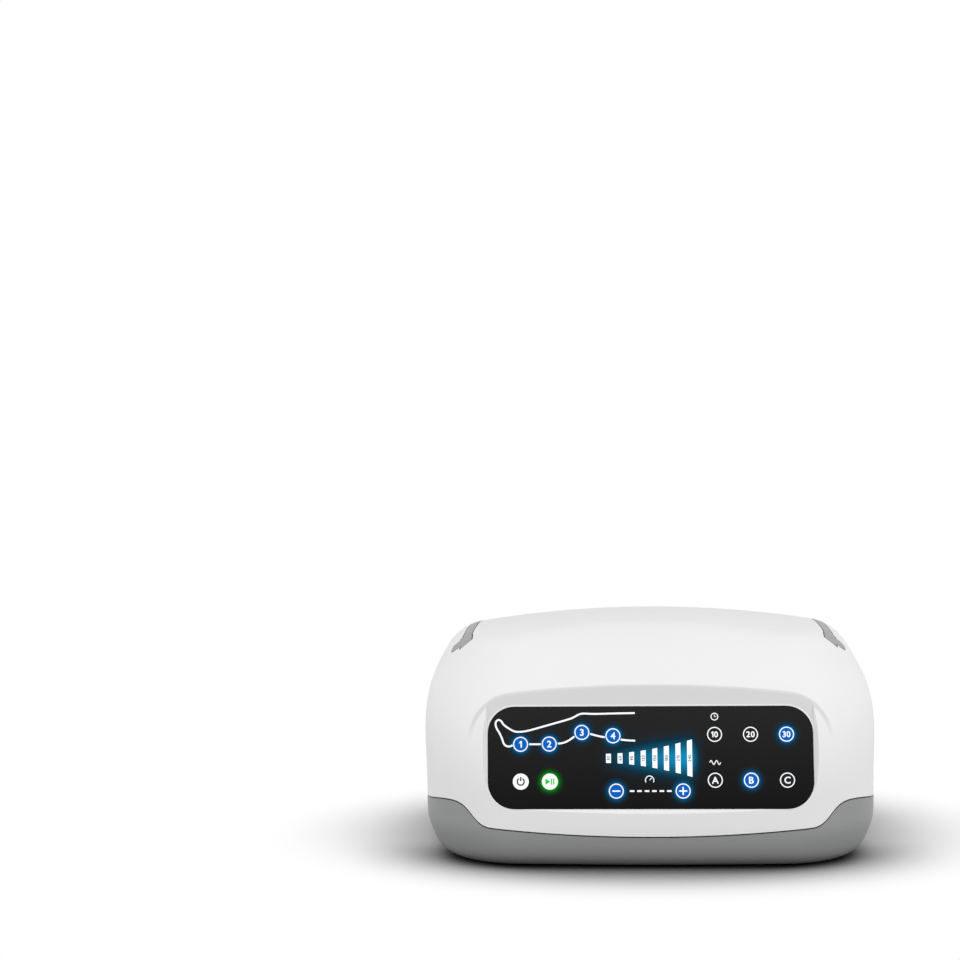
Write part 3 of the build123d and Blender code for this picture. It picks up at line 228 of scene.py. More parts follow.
KEY_WORDS = {
    "key_position_1": "1",
    "key_position_2": "2",
    "key_position_3": "3",
    "key_position_4": "4",
    "key_time_10": "10",
    "key_time_20": "20",
    "key_time_30": "30",
    "key_mode_a": "A",
    "key_mode_b": "B",
    "key_mode_c": "C",
}

# ---------------------------------------------------------------- marks on the panel
# In millimetres and, for the gauge's arc, degrees.
LEG_LINE = (
    (-8.0, 24.3),
    (-20.0, 24.1),
    (-30.1, 23.9),
    (-36.4, 24.1),
    (-39.0, 23.5),
    (-41.6, 22.1),
    (-45.1, 20.8),
    (-57.7, 17.3),
    (-66.5, 14.9),
    (-71.6, 14.2),
    (-74.7, 14.6),
    (-77.8, 16.3),
    (-80.3, 18.2),
    (-81.6, 20.0),
    (-82.9, 20.8),
    (-84.2, 20.2),
    (-84.8, 18.5),
    (-84.1, 16.0),
    (-82.6, 13.5),
    (-81.3, 10.7),
    (-80.3, 7.9),
    (-78.9, 6.5),
    (-77.2, 6.2),
    (-75.4, 6.9),
)
CALF_LINES = (
    ((-66.3, 7.4), (-59.9, 7.4)),
    ((-50.5, 7.7), (-47.6, 8.1), (-44.5, 9.4), (-41.3, 11.6)),
    ((-32.7, 13.0), (-28.2, 11.8), (-24.6, 11.1)),
    ((-15.9, 9.8), (-12.0, 9.4), (-8.0, 9.2)),
)
LEG_WIDTH = 1.0
BAR_WORDS = ("30", "60", "90", "120", "150", "180", "210", "240")
BAR_NUMBER_HEIGHT = 1.7
BAR_NUMBER_LIFT = 0.10
BAR_NUMBER_BOLD = 0.05
BAR_NUMBER_TURN = math.radians(90)
DASH_FIRST_U = -11.2
DASH_LAST_U = 11.6
DASH_V = -18.2
DASH_SIZE = (2.5, 0.95)
DASH_COUNT = 6
TIME_PLACE = (35.6, 22.2)
CLOCK_RADII = (2.1, 1.6)
CLOCK_HANDS = ((0, 1.1), (0, 0), (0.9, 0))
CLOCK_WIDTH = 0.4
MODE_PLACE = (35.6, -2.8)
WAVE_LENGTH = 6.0
WAVE_HEIGHT = 1.1
WAVE_COUNT = 2
WAVE_STEPS = 24
WAVE_WIDTH = 0.5
GAUGE_PLACE = (-0.3, -12.3)
GAUGE_RADIUS = 2.3
GAUGE_ARC = (-30, 210)
GAUGE_WIDTH = 0.5
NEEDLE = ((0, 0), (1.2, 1.3))
NEEDLE_WIDTH = 0.45


# ---------------------------------------------------------------- node helpers
MIX_FACTOR, MIX_LOW, MIX_HIGH, MIX_RESULT = 0, 6, 7, 2  # sockets of a Mix node that mixes colours


def new_material(name):
    """A material with an empty node tree, its Principled shader and a place to hang nodes on."""
    made = bpy.data.materials.new(name)
    made.use_nodes = True
    tree = made.node_tree
    tree.nodes.clear()
    output = tree.nodes.new("ShaderNodeOutputMaterial")
    shader = tree.nodes.new("ShaderNodeBsdfPrincipled")
    tree.links.new(shader.outputs["BSDF"], output.inputs["Surface"])
    return made, tree, shader


def feed(tree, socket, value):
    """Links a socket to an input, or sets the input to a constant."""
    if isinstance(value, bpy.types.NodeSocket):
        tree.links.new(value, socket)
    else:
        socket.default_value = value


def math_of(tree, operation, *values):
    """The result of a Math node; each value is a number or a socket."""
    node = tree.nodes.new("ShaderNodeMath")
    node.operation = operation
    for socket, value in zip(node.inputs, values):
        feed(tree, socket, value)
    return node.outputs[0]


def vector_of(tree, operation, first, second=None):
    """The result of a Vector Math node; each value is a constant or a socket."""
    node = tree.nodes.new("ShaderNodeVectorMath")
    node.operation = operation
    feed(tree, node.inputs[0], first)
    if second is not None:
        feed(tree, node.inputs["Scale"] if operation == "SCALE" else node.inputs[1], second)
    return node.outputs["Value" if operation in ("LENGTH", "DISTANCE", "DOT_PRODUCT") else "Vector"]


def object_space(tree):
    """Object coordinates in metres, which are the part's own for every piece."""
    return tree.nodes.new("ShaderNodeTexCoord").outputs["Object"]


def noise(tree, scale, detail=3.0, roughness=0.5):
    """A noise texture in object space; scale is in cycles per metre."""
    node = tree.nodes.new("ShaderNodeTexNoise")
    node.inputs["Scale"].default_value = scale
    node.inputs["Detail"].default_value = detail
    node.inputs["Roughness"].default_value = roughness
    tree.links.new(object_space(tree), node.inputs["Vector"])
    return node.outputs["Fac"]


def between(tree, factor, low, high):
    """factor mapped from 0..1 to low..high."""
    node = tree.nodes.new("ShaderNodeMapRange")
    node.inputs["To Min"].default_value = low
    node.inputs["To Max"].default_value = high
    tree.links.new(factor, node.inputs["Value"])
    return node.outputs["Result"]


def ramp(tree, value, start_end, low_high):
    """A smooth step of value between start and end, from low to high."""
    node = tree.nodes.new("ShaderNodeMapRange")
    node.interpolation_type = "SMOOTHSTEP"
    node.inputs["From Min"].default_value, node.inputs["From Max"].default_value = start_end
    node.inputs["To Min"].default_value, node.inputs["To Max"].default_value = low_high
    tree.links.new(value, node.inputs["Value"])
    return node.outputs["Result"]


def tint(tree, factor, dark, light):
    """A colour that runs from dark to light with factor."""
    node = tree.nodes.new("ShaderNodeMix")
    node.data_type = "RGBA"
    node.inputs[MIX_LOW].default_value = (*dark, 1)
    node.inputs[MIX_HIGH].default_value = (*light, 1)
    tree.links.new(factor, node.inputs[MIX_FACTOR])
    return node.outputs[MIX_RESULT]


def scaled(colour, share):
    """A colour times a share, held to 1."""
    return tuple(min(1.0, channel * share) for channel in colour)


def shades(tree, factor, colour, shares):
    """A colour between two shares of itself, by factor."""
    return tint(tree, factor, scaled(colour, shares[0]), scaled(colour, shares[1]))


def uneven(tree, shader, factor, roughness, shares):
    """Gives a shader a roughness between two shares of itself, by factor."""
    low, high = (min(1.0, roughness * share) for share in shares)
    tree.links.new(between(tree, factor, low, high), shader.inputs["Roughness"])


def relief(tree, shader, height, strength, distance):
    """Bump from a height."""
    node = tree.nodes.new("ShaderNodeBump")
    node.inputs["Strength"].default_value = strength
    node.inputs["Distance"].default_value = distance
    tree.links.new(height, node.inputs["Height"])
    tree.links.new(node.outputs["Normal"], shader.inputs["Normal"])


# ---------------------------------------------------------------- materials
def moulded(name, colour, roughness, grain=2600.0, depth=0.00002, strength=0.25, specular=0.5, spread=0.03):
    """Moulded plastic: a fine eroded grain, a slow drift of tone, and gloss that varies a little."""
    made, tree, shader = new_material(name)
    tone = shades(tree, noise(tree, TONE_SCALE, detail=2.0), colour, (1 - spread, 1 + spread))
    tree.links.new(tone, shader.inputs["Base Color"])
    uneven(tree, shader, noise(tree, GLOSS_SCALE), roughness, PLASTIC_GLOSS)
    relief(tree, shader, noise(tree, grain, *GRAIN_DETAIL), strength, depth)
    shader.inputs["Specular IOR Level"].default_value = specular
    return made


def metal(name, colour, roughness, brush=(1.0, 1.0, 1.0), grain=900.0, strength=0.2):
    """Metal with fine brushing along the axis where brush is small."""
    made, tree, shader = new_material(name)
    stretch = tree.nodes.new("ShaderNodeMapping")
    stretch.inputs["Scale"].default_value = brush
    tree.links.new(object_space(tree), stretch.inputs["Vector"])
    lines = tree.nodes.new("ShaderNodeTexNoise")
    lines.inputs["Scale"].default_value = grain
    lines.inputs["Detail"].default_value = 4.0
    tree.links.new(stretch.outputs["Vector"], lines.inputs["Vector"])
    tone = shades(tree, noise(tree, METAL_SCALE), colour, METAL_TONE)
    tree.links.new(tone, shader.inputs["Base Color"])
    uneven(tree, shader, lines.outputs["Fac"], roughness, METAL_GLOSS)
    shader.inputs["Metallic"].default_value = 1.0
    relief(tree, shader, lines.outputs["Fac"], strength, METAL_DEPTH)
    return made


def rubber(name, colour, roughness=0.75):
    """Dull rubber with a pitted skin and a little dust in its tone."""
    made, tree, shader = new_material(name)
    pits = noise(tree, RUBBER_PITS, *PIT_DETAIL)
    tree.links.new(shades(tree, noise(tree, RUBBER_SCALE), colour, RUBBER_TONE), shader.inputs["Base Color"])
    uneven(tree, shader, pits, roughness, RUBBER_GLOSS)
    relief(tree, shader, pits, strength=0.4, distance=RUBBER_DEPTH)
    return made


def foam(name, colour):
    """Open-cell foam: cells from a Voronoi texture."""
    made, tree, shader = new_material(name)
    cells = tree.nodes.new("ShaderNodeTexVoronoi")
    cells.inputs["Scale"].default_value = FOAM_CELLS
    tree.links.new(object_space(tree), cells.inputs["Vector"])
    tree.links.new(shades(tree, cells.outputs["Distance"], colour, FOAM_TONE), shader.inputs["Base Color"])
    shader.inputs["Roughness"].default_value = 0.95
    relief(tree, shader, cells.outputs["Distance"], strength=0.9, distance=FOAM_DEPTH)
    return made


def circuit_board(name):
    """Green solder mask with faint tracks in two directions."""
    made, tree, shader = new_material(name)
    tracks = tree.nodes.new("ShaderNodeTexBrick")
    tracks.inputs["Scale"].default_value = TRACK_SCALE
    tracks.inputs["Mortar Size"].default_value = TRACK_WIDTH
    tracks.inputs["Color1"].default_value = (*BOARD_DARK, 1)
    tracks.inputs["Color2"].default_value = (*BOARD_LIGHT, 1)
    tracks.inputs["Mortar"].default_value = (*BOARD_TRACK, 1)
    tree.links.new(object_space(tree), tracks.inputs["Vector"])
    tree.links.new(tracks.outputs["Color"], shader.inputs["Base Color"])
    gloss = between(tree, noise(tree, BOARD_GLOSS_SCALE), *BOARD_ROUGHNESS)
    tree.links.new(gloss, shader.inputs["Roughness"])
    relief(tree, shader, tracks.outputs["Fac"], strength=0.3, distance=TRACK_DEPTH)
    return made


def wound_wire(name, colour):
    """Enamelled wire laid in close turns."""
    made, tree, shader = new_material(name)
    turns = tree.nodes.new("ShaderNodeTexWave")
    turns.bands_direction = "Y"
    turns.inputs["Scale"].default_value = WIRE_TURNS
    turns.inputs["Distortion"].default_value = WIRE_WANDER
    tree.links.new(object_space(tree), turns.inputs["Vector"])
    tree.links.new(shades(tree, turns.outputs["Fac"], colour, WIRE_TONE), shader.inputs["Base Color"])
    shader.inputs["Metallic"].default_value = 0.85
    shader.inputs["Roughness"].default_value = 0.32
    relief(tree, shader, turns.outputs["Fac"], strength=0.7, distance=WIRE_DEPTH)
    return made


def lit(name, colour, strength):
    """A translucent cap lit from behind, a little brighter in places than in others."""
    made, tree, shader = new_material(name)
    shader.inputs["Roughness"].default_value = 0.35
    shader.inputs["Specular IOR Level"].default_value = LIT_SPECULAR
    patchy = noise(tree, LIT_PATCHES, detail=2.0)
    tree.links.new(shades(tree, patchy, colour, LIT_MOTTLE), shader.inputs["Emission Color"])
    tree.links.new(shades(tree, patchy, colour, LIT_BODY), shader.inputs["Base Color"])
    shader.inputs["Emission Strength"].default_value = strength
    return made


# ---------------------------------------------------------------- places on the panel
press = next(joint for joint in frame["joints"] if joint["name"] == "key_power_press")
OUTWARD = -Vector(press["axis"]).normalized()
RIGHT = Vector((1, 0, 0))
UPWARD = OUTWARD.cross(RIGHT)


def face_of(node):
    """The middle of a node's outermost face along the panel's normal, and the face's level there."""
    points = [vertex.co for vertex in frame["nodes"][node].data.vertices]
    level = max(point.dot(OUTWARD) for point in points)
    face = [point for point in points if point.dot(OUTWARD) > level - SKIN * MM]
    middle = Vector()
    for axis in (RIGHT, UPWARD):
        reach = [point.dot(axis) for point in face]
        middle += axis * (min(reach) + max(reach)) / 2
    return middle + OUTWARD * level


PANEL_MIDDLE = face_of("control_panel")


def on_panel(u, v):
    """A point of the panel's face, u to the right of and v above its middle, in millimetres."""
    return PANEL_MIDDLE + (RIGHT * u + UPWARD * v) * MM


def bar_places():
    """The middle of each light bar's face, from the left, from the loose parts of their node."""
    mesh = frame["nodes"]["pressure_light_bars"].data
    spans = sorted(vertex.co.x for vertex in mesh.vertices)
    groups = [[spans[0]]]
    for x in spans[1:]:
        if x - groups[-1][-1] > BAR_GAP_LEAST * MM:
            groups.append([])
        groups[-1].append(x)
    level = face_of("pressure_light_bars")
    return [Vector(((group[0] + group[-1]) / 2, level.y, level.z)) for group in groups]


BAR_MIDDLES = bar_places()


# ---------------------------------------------------------------- panel with its glow
def along(tree, axis, middle):
    """How far a point lies from middle along an axis, in millimetres."""
    return vector_of(tree, "DOT_PRODUCT", vector_of(tree, "SUBTRACT", object_space(tree), middle), axis / MM)


def halo(tree, middle, reach, colour):
    """Light that falls off round a point in the panel as exp(-(distance / reach) ** GLOW_FALL)."""
    gap = vector_of(tree, "DISTANCE", object_space(tree), middle)
    share = math_of(tree, "DIVIDE", gap, reach * MM)
    level = math_of(tree, "POWER", math.exp(-1), math_of(tree, "POWER", share, GLOW_FALL))
    return vector_of(tree, "SCALE", colour, level)


def bars_halo(tree):
    """The light round the pressure scale, wider and stronger towards its tall end."""
    middle = (BAR_MIDDLES[0] + BAR_MIDDLES[-1]) / 2
    u = along(tree, RIGHT, middle)
    v = along(tree, UPWARD, middle)
    width = math_of(tree, "MULTIPLY_ADD", u, BAR_GLOW_SPREAD, BAR_GLOW_WIDTH)
    across = math_of(tree, "DIVIDE", v, width)
    beyond = math_of(tree, "SUBTRACT", math_of(tree, "ABSOLUTE", u), BAR_GLOW_HALF)
    past_end = math_of(tree, "DIVIDE", math_of(tree, "MAXIMUM", beyond, 0.0), BAR_GLOW_END)
    both = math_of(tree, "MULTIPLY_ADD", past_end, past_end, math_of(tree, "MULTIPLY", across, across))
    rise = math_of(tree, "MULTIPLY_ADD", u, BAR_GLOW_RISE, BAR_GLOW_LEVEL)
    level = math_of(tree, "MAXIMUM", rise, BAR_GLOW_LEAST)
    fall = math_of(tree, "POWER", math.exp(-1), both)
    return vector_of(tree, "SCALE", GLOW_BARS, math_of(tree, "MULTIPLY", fall, level))


def panel_material():
    """Gloss black panel with the glow that the lit keys and the light bars throw into it, and a painted
    sheen: its black is lighter towards the top.
    """
    made, tree, shader = new_material("panel_gloss")
    glow = bars_halo(tree)
    for key in LIT_KEYS:
        glow = vector_of(tree, "ADD", glow, halo(tree, face_of(key), KEY_GLOW_REACH, GLOW_BLUE))
    glow = vector_of(tree, "ADD", glow, halo(tree, face_of("key_start"), START_GLOW_REACH, GLOW_GREEN))
    tree.links.new(glow, shader.inputs["Emission Color"])
    shader.inputs["Emission Strength"].default_value = 1.0
    # Painted sheen: the black runs lighter towards the panel's top, with a little random drift of tone.
    height = math_of(tree, "MULTIPLY_ADD", along(tree, UPWARD, PANEL_MIDDLE), 1 / PANEL_SPAN, 0.5)
    drift = math_of(tree, "MULTIPLY_ADD", noise(tree, PANEL_DRIFT_SCALE), PANEL_DRIFT, height)
    unlit = ramp(tree, vector_of(tree, "LENGTH", glow), (0.0, GLOW_FULL), (1.0, 0.0))
    black = vector_of(tree, "SCALE", tint(tree, drift, PANEL_PAINTED_SHEEN_LOW, PANEL_PAINTED_SHEEN_HIGH), unlit)
    tree.links.new(black, shader.inputs["Base Color"])
    gloss = between(tree, noise(tree, PANEL_GLOSS_SCALE), *PANEL_ROUGHNESS)
    tree.links.new(gloss, shader.inputs["Roughness"])
    shader.inputs["Specular IOR Level"].default_value = PANEL_SPECULAR
    return made


# ---------------------------------------------------------------- white shell, with painted shade in the panel's pocket
def painted_pocket_shade_mask(tree):
    """Mask of the painted shade: 1 on the floor of the panel's pocket above the panel, 0 elsewhere, with
    soft borders.
    """
    u = along(tree, RIGHT, PANEL_MIDDLE)
    v = along(tree, UPWARD, PANEL_MIDDLE)
    outward = along(tree, OUTWARD, PANEL_MIDDLE)
    beside = math_of(tree, "SUBTRACT", math_of(tree, "ABSOLUTE", u), PANEL_REACH - PANEL_ROUND)
    beside = math_of(tree, "MAXIMUM", beside, 0.0)
    above = math_of(tree, "SUBTRACT", v, PANEL_SPAN / 2 - PANEL_ROUND)
    above = math_of(tree, "MAXIMUM", above, 0.0)
    square = math_of(tree, "MULTIPLY_ADD", beside, beside, math_of(tree, "MULTIPLY", above, above))
    rim = tuple(PANEL_ROUND + width for width in POCKET_RIM)
    off_edge = ramp(tree, math_of(tree, "SQRT", square), rim, (0.0, 1.0))
    high = ramp(tree, v, POCKET_TURN, (0.0, 1.0))
    deep = ramp(tree, math_of(tree, "ABSOLUTE", outward), POCKET_DEEP, (1.0, 0.0))
    return math_of(tree, "MULTIPLY", math_of(tree, "MULTIPLY", off_edge, high), deep)


def shell_material():
    """White plastic; the floor of the panel's pocket is painted a little greyer above the panel, as painted
    shade.
    """
    made = moulded("white_shell", WHITE_SHELL, **SHELL_FINISH)
    tree = made.node_tree
    base = tree.nodes["Principled BSDF"].inputs["Base Color"]
    # Painted shade: the shell's colour is darkened on the pocket floor above the panel.
    level = math_of(tree, "MULTIPLY_ADD", painted_pocket_shade_mask(tree), POCKET_PAINTED_SHADE - 1, 1.0)
    tree.links.new(vector_of(tree, "SCALE", base.links[0].from_socket, level), base)
    return made


# ---------------------------------------------------------------- materials of the carried-over nodes
def key_nodes():
    """The fourteen keys, by name."""
    return [node for node in sorted(frame["nodes"]) if node.startswith("key_") and node != "key_switches"]


def plastics():
    """Moulded pieces and the boards, by material."""
    connector = moulded("connector_grey", CONNECTOR_GREY, roughness=0.45)
    black = moulded("black_plastic", BLACK_PLASTIC, roughness=0.4)
    return {
        shell_material(): ("upper_shell",),
        moulded("grey_shell", GREY_SHELL, **BASE_FINISH): ("lower_shell",),
        moulded("handle_grey", HANDLE_GREY, **HANDLE_FINISH): ("carry_handle",),
        connector: ("filter_cover", "air_outlet_left", "air_outlet_right"),
        black: ("mains_inlet", "key_switches", "buzzer", "pump_head_left", "pump_head_right", "valve_coils"),
        moulded("dark_parts", DARK_PARTS, roughness=0.5): ("board_components", "pressure_sensor"),
        moulded("white_acetal", ACETAL_WHITE, roughness=0.4): ("valve_manifold",),
        moulded("potted_block", POTTING_BLUE, roughness=0.35): ("power_transformer",),
        circuit_board("solder_mask"): ("main_board", "display_board"),
    }


def soft_parts():
    """Rubber, silicone and foam, by material."""
    seal = rubber("seal_rubber", SEAL_BLACK)
    return {
        seal: ("seam_gasket", "diaphragm_left", "diaphragm_right", "isolators"),
        rubber("feet_rubber", FOOT_BLACK): ("rubber_feet",),
        rubber("silicone_tube", SILICONE, roughness=0.4): ("supply_tubes", "outlet_tubes"),
        foam("filter_foam", FOAM_GREY): ("air_filter",),
    }


def metals():
    """Metal pieces, by material."""
    steel = metal("zinc_steel", ZINC, **STEEL_FINISH)
    alloy = metal("alloy", ALLOY, **ALLOY_FINISH)
    return {
        steel: ("housing_screws", "handle_pins", "display_screws", "compressor_frame"),
        metal("plated_brass", BRASS, roughness=0.22): ("inlet_pins",),
        alloy: ("armature", "valve_plunger_1", "valve_plunger_2", "valve_plunger_3", "valve_plunger_4"),
        metal("nickel_magnet", NICKEL, roughness=0.18): ("armature_magnets",),
        metal("laminated_iron", IRON, **IRON_FINISH): ("magnet_cores",),
        wound_wire("copper_turns", COPPER): ("drive_coils",),
    }


def front_parts():
    """The panel, its light bars and its keys, by material."""
    unlit_keys = [node for node in key_nodes() if node not in LIT_KEYS and node not in WHITE_KEYS]
    return {
        panel_material(): ("control_panel",),
        lit("bar_light", MARK_WHITE, BAR_LIGHT): ("pressure_light_bars",),
        moulded("key_black", KEY_BLACK, **KEY_FINISH): unlit_keys,
        lit("key_blue", KEY_BLUE, KEY_LIGHT): LIT_KEYS,
        lit("key_white", POWER_WHITE, WHITE_KEY_LIGHT): WHITE_KEYS,
    }


def dress_nodes():
    """Every CAD node gets the material that it is listed under."""
    for looks in (plastics(), soft_parts(), metals(), front_parts()):
        for material, nodes in looks.items():
            for node in nodes:
                mesh = frame["nodes"][node].data
                mesh.materials.clear()
                mesh.materials.append(material)


# ---------------------------------------------------------------- flat work
def flat_outline(loops, thick):
    """A plate of even thickness bounded by closed loops of 2-D points; later loops are holes."""
    curve = bpy.data.curves.new("outline", "CURVE")
    curve.dimensions = "2D"
    curve.fill_mode = "BOTH"
    curve.extrude = thick / 2
    for loop in loops:
        spline = curve.splines.new("POLY")
        spline.points.add(len(loop) - 1)
        for point, (x, y) in zip(spline.points, loop):
            point.co = (x, y, 0, 1)
        spline.use_cyclic_u = True
    return mesh_of(curve)


def mesh_of(curve):
    """The mesh of a curve, which is then removed."""
    carrier = bpy.data.objects.new("carrier", curve)
    mesh = bpy.data.meshes.new_from_object(carrier)
    bpy.data.objects.remove(carrier)
    bpy.data.curves.remove(curve)
    return mesh


def joined(meshes):
    """Several flat meshes as one."""
    whole = bmesh.new()
    for mesh in meshes:
        whole.from_mesh(mesh)
        bpy.data.meshes.remove(mesh)
    made = bpy.data.meshes.new("joined")
    whole.to_mesh(made)
    whole.free()
    return made


def circle(radius, count=48):
    """A closed loop of points round a circle."""
    turns = [2 * math.pi * step / count for step in range(count)]
    return [(radius * math.cos(turn), radius * math.sin(turn)) for turn in turns]


def arc(radius, start, end, count=24):
    """Points along an arc, in degrees."""
    turns = [math.radians(start + (end - start) * step / count) for step in range(count + 1)]
    return [(radius * math.cos(turn), radius * math.sin(turn)) for turn in turns]


def smooth(points, steps=8):
    """Points along a Catmull-Rom curve through the given ones."""
    ends = [points[0], *points, points[-1]]
    curve = []
    for before, start, end, after in zip(ends, ends[1:], ends[2:], ends[3:]):
        for step in range(steps):
            t = step / steps
            curve.append(tuple(
                0.5 * (
                    2 * s + (e - b) * t
                    + (2 * b - 5 * s + 4 * e - a) * t**2
                    + (3 * s - b - 3 * e + a) * t**3
                )
                for b, s, e, a in zip(before, start, end, after)
            ))
    return [*curve, points[-1]]


def stroke(points, width):
    """A closed loop round a line of 2-D points, width wide, with square ends."""
    left = []
    right = []
    last = len(points) - 1
    for index, (x, y) in enumerate(points):
        before = points[max(index - 1, 0)]
        after = points[min(index + 1, last)]
        run = Vector((after[0] - before[0], after[1] - before[1])).normalized() * width / 2
        left.append((x - run.y, y + run.x))
        right.append((x + run.y, y - run.x))
    return left + right[::-1]


def line(points, width):
    """A raised line of even width, as a mark."""
    return flat_outline([stroke(points, width)], MARK_LIFT)


def glyph(letter, height, thick, bold):
    """One plain block character, height tall, in millimetres; a 1 has a flag."""
    if letter == "1":
        return flat_outline([[(x * height, y * height) for x, y in ONE_OUTLINE]], thick)
    curve = bpy.data.curves.new("word", "FONT")
    curve.body = letter
    curve.size = height / CAPITAL_SHARE
    curve.extrude = thick / 2
    curve.offset = bold
    curve.resolution_u = LETTER_STEPS
    return mesh_of(curve)


def written(word, height, thick, turn, bold):
    """A word of block characters set side by side, centred, turned about its middle."""
    letters = []
    reach = 0.0
    for letter in word:
        mesh = glyph(letter, height, thick, bold)
        start = min(vertex.co.x for vertex in mesh.vertices)
        mesh.transform(Matrix.Translation((reach - start, 0, 0)))
        reach = max(vertex.co.x for vertex in mesh.vertices) + LETTER_GAP * height
        letters.append(mesh)
    mesh = joined(letters)
    xs = [vertex.co.x for vertex in mesh.vertices]
    ys = [vertex.co.y for vertex in mesh.vertices]
    middle = Vector(((min(xs) + max(xs)) / 2, (min(ys) + max(ys)) / 2, 0))
    mesh.transform(Matrix.Rotation(turn, 4, "Z") @ Matrix.Translation(-middle))
    return mesh


def placed(mesh, middle):
    """Flat work in millimetres laid on the panel's plane at a point."""
    turn = Matrix((RIGHT, UPWARD, OUTWARD)).transposed().to_4x4()
    mesh.transform(Matrix.Translation(middle) @ turn @ Matrix.Scale(MM, 4))
    return mesh


def piece(name, mesh, material, body):
    """A mesh already in the part's frame becomes a piece that rides on a body."""
    made = bpy.data.objects.new(name, mesh)
    bpy.context.scene.collection.objects.link(made)
    mesh.materials.clear()
    mesh.materials.append(material)
    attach(made, body)


# ---------------------------------------------------------------- marks on the keys
def minus_mark():
    """A level stroke."""
    return line(((-SIGN_HALF, 0), (SIGN_HALF, 0)), SIGN_WIDTH)


def plus_mark():
    """An upright cross as one outline."""
    arm = SIGN_HALF
    half = SIGN_WIDTH / 2
    cross = [
        (-arm, -half), (-half, -half), (-half, -arm), (half, -arm), (half, -half), (arm, -half),
        (arm, half), (half, half), (half, arm), (-half, arm), (-half, half), (-arm, half),
    ]
    return flat_outline([cross], MARK_LIFT)


def power_mark():
    """An open ring with an upright stem."""
    return joined([line(arc(POWER_RADIUS, *POWER_ARC), POWER_WIDTH), line(POWER_STEM, POWER_WIDTH)])


def start_mark():
    """A triangle and two upright bars: start and pause."""
    left, tip = START_TRIANGLE
    plates = [flat_outline([[(left, -START_HALF), (tip, 0), (left, START_HALF)]], MARK_LIFT)]
    for near, far in PAUSE_BARS:
        bar = [(near, -START_HALF), (far, -START_HALF), (far, START_HALF), (near, START_HALF)]
        plates.append(flat_outline([bar], MARK_LIFT))
    return joined(plates)


def word_mark(node):
    """A key's number or letter; two figures are drawn a little smaller."""
    word = KEY_WORDS[node]
    height = NUMBER_HEIGHT if len(word) == 1 else NUMBER_HEIGHT * PAIR_SHARE
    return written(word, height, MARK_LIFT, 0.0, NUMBER_BOLD)


def key_marks():
    """Each key's white ring and its number, letter or sign, riding on the key's own body."""
    ring_light = lit("ring_white", MARK_WHITE, RING_LIGHT)
    mark_light = lit("mark_white", MARK_WHITE, MARK_LIGHT)
    inks = {
        "key_power": moulded("mark_black", MARK_BLACK, roughness=0.4),
        "key_start": lit("start_green", START_GREEN, START_LIGHT),
    }
    signs = {
        "key_minus": minus_mark,
        "key_plus": plus_mark,
        "key_power": power_mark,
        "key_start": start_mark,
    }
    for node in key_nodes():
        body = node + "_body"
        top = face_of(node)
        if node not in WHITE_KEYS:
            ring = flat_outline([circle(RING_OUTER), circle(RING_OUTER - RING_WIDTH)], RING_LIFT)
            piece(node + "_ring", placed(ring, top), ring_light, body)
        mark = signs[node]() if node in signs else word_mark(node)
        piece(node + "_mark", placed(mark, top), inks.get(node, mark_light), body)


# ---------------------------------------------------------------- marks on the panel
def leg_mark():
    """The plain leg line, broken where the position keys stand."""
    return joined([line(smooth(points), LEG_WIDTH) for points in (LEG_LINE, *CALF_LINES)])


def dash_marks():
    """The row of dashes between the minus and the plus."""
    length, width = DASH_SIZE
    pitch = (DASH_LAST_U - DASH_FIRST_U - length) / (DASH_COUNT - 1)
    starts = [DASH_FIRST_U + step * pitch for step in range(DASH_COUNT)]
    return joined([line(((start, DASH_V), (start + length, DASH_V)), width) for start in starts])


def clock_mark():
    """A ring with two hands."""
    dial = flat_outline([circle(radius) for radius in CLOCK_RADII], MARK_LIFT)
    return joined([dial, line(CLOCK_HANDS, CLOCK_WIDTH)])


def wave_mark():
    """A sine wave."""
    shares = [step / WAVE_STEPS for step in range(WAVE_STEPS + 1)]
    turn = 2 * math.pi * WAVE_COUNT
    wave = [(WAVE_LENGTH * (share - 0.5), WAVE_HEIGHT * math.sin(turn * share)) for share in shares]
    return line(wave, WAVE_WIDTH)


def gauge_mark():
    """An open dial with a needle."""
    return joined([line(arc(GAUGE_RADIUS, *GAUGE_ARC), GAUGE_WIDTH), line(NEEDLE, NEEDLE_WIDTH)])


def panel_marks():
    """The leg line, the dashes between the signs, the numbers on the light bars and small symbols."""
    white = lit("print_white", MARK_WHITE, PRINT_LIGHT)
    ink = moulded("bar_ink", BAR_INK, roughness=0.5)
    piece("leg_line", placed(leg_mark(), on_panel(0, 0)), white, "housing")
    piece("pressure_dashes", placed(dash_marks(), on_panel(0, 0)), white, "housing")
    for word, middle in zip(BAR_WORDS, BAR_MIDDLES):
        number = written(word, BAR_NUMBER_HEIGHT, BAR_NUMBER_LIFT, BAR_NUMBER_TURN, BAR_NUMBER_BOLD)
        piece("bar_number_" + word, placed(number, middle), ink, "housing")
    piece("time_symbol", placed(clock_mark(), on_panel(*TIME_PLACE)), white, "housing")
    piece("mode_symbol", placed(wave_mark(), on_panel(*MODE_PLACE)), white, "housing")
    piece("pressure_symbol", placed(gauge_mark(), on_panel(*GAUGE_PLACE)), white, "housing")


# ---------------------------------------------------------------- stage
def background_rays(tree):
    """1 for what the camera sees straight on, in a reflection or through something clear."""
    path = tree.nodes.new("ShaderNodeLightPath")
    seen = math_of(tree, "MAXIMUM", path.outputs["Is Camera Ray"], path.outputs["Is Glossy Ray"])
    return math_of(tree, "MAXIMUM", seen, path.outputs["Is Transmission Ray"])


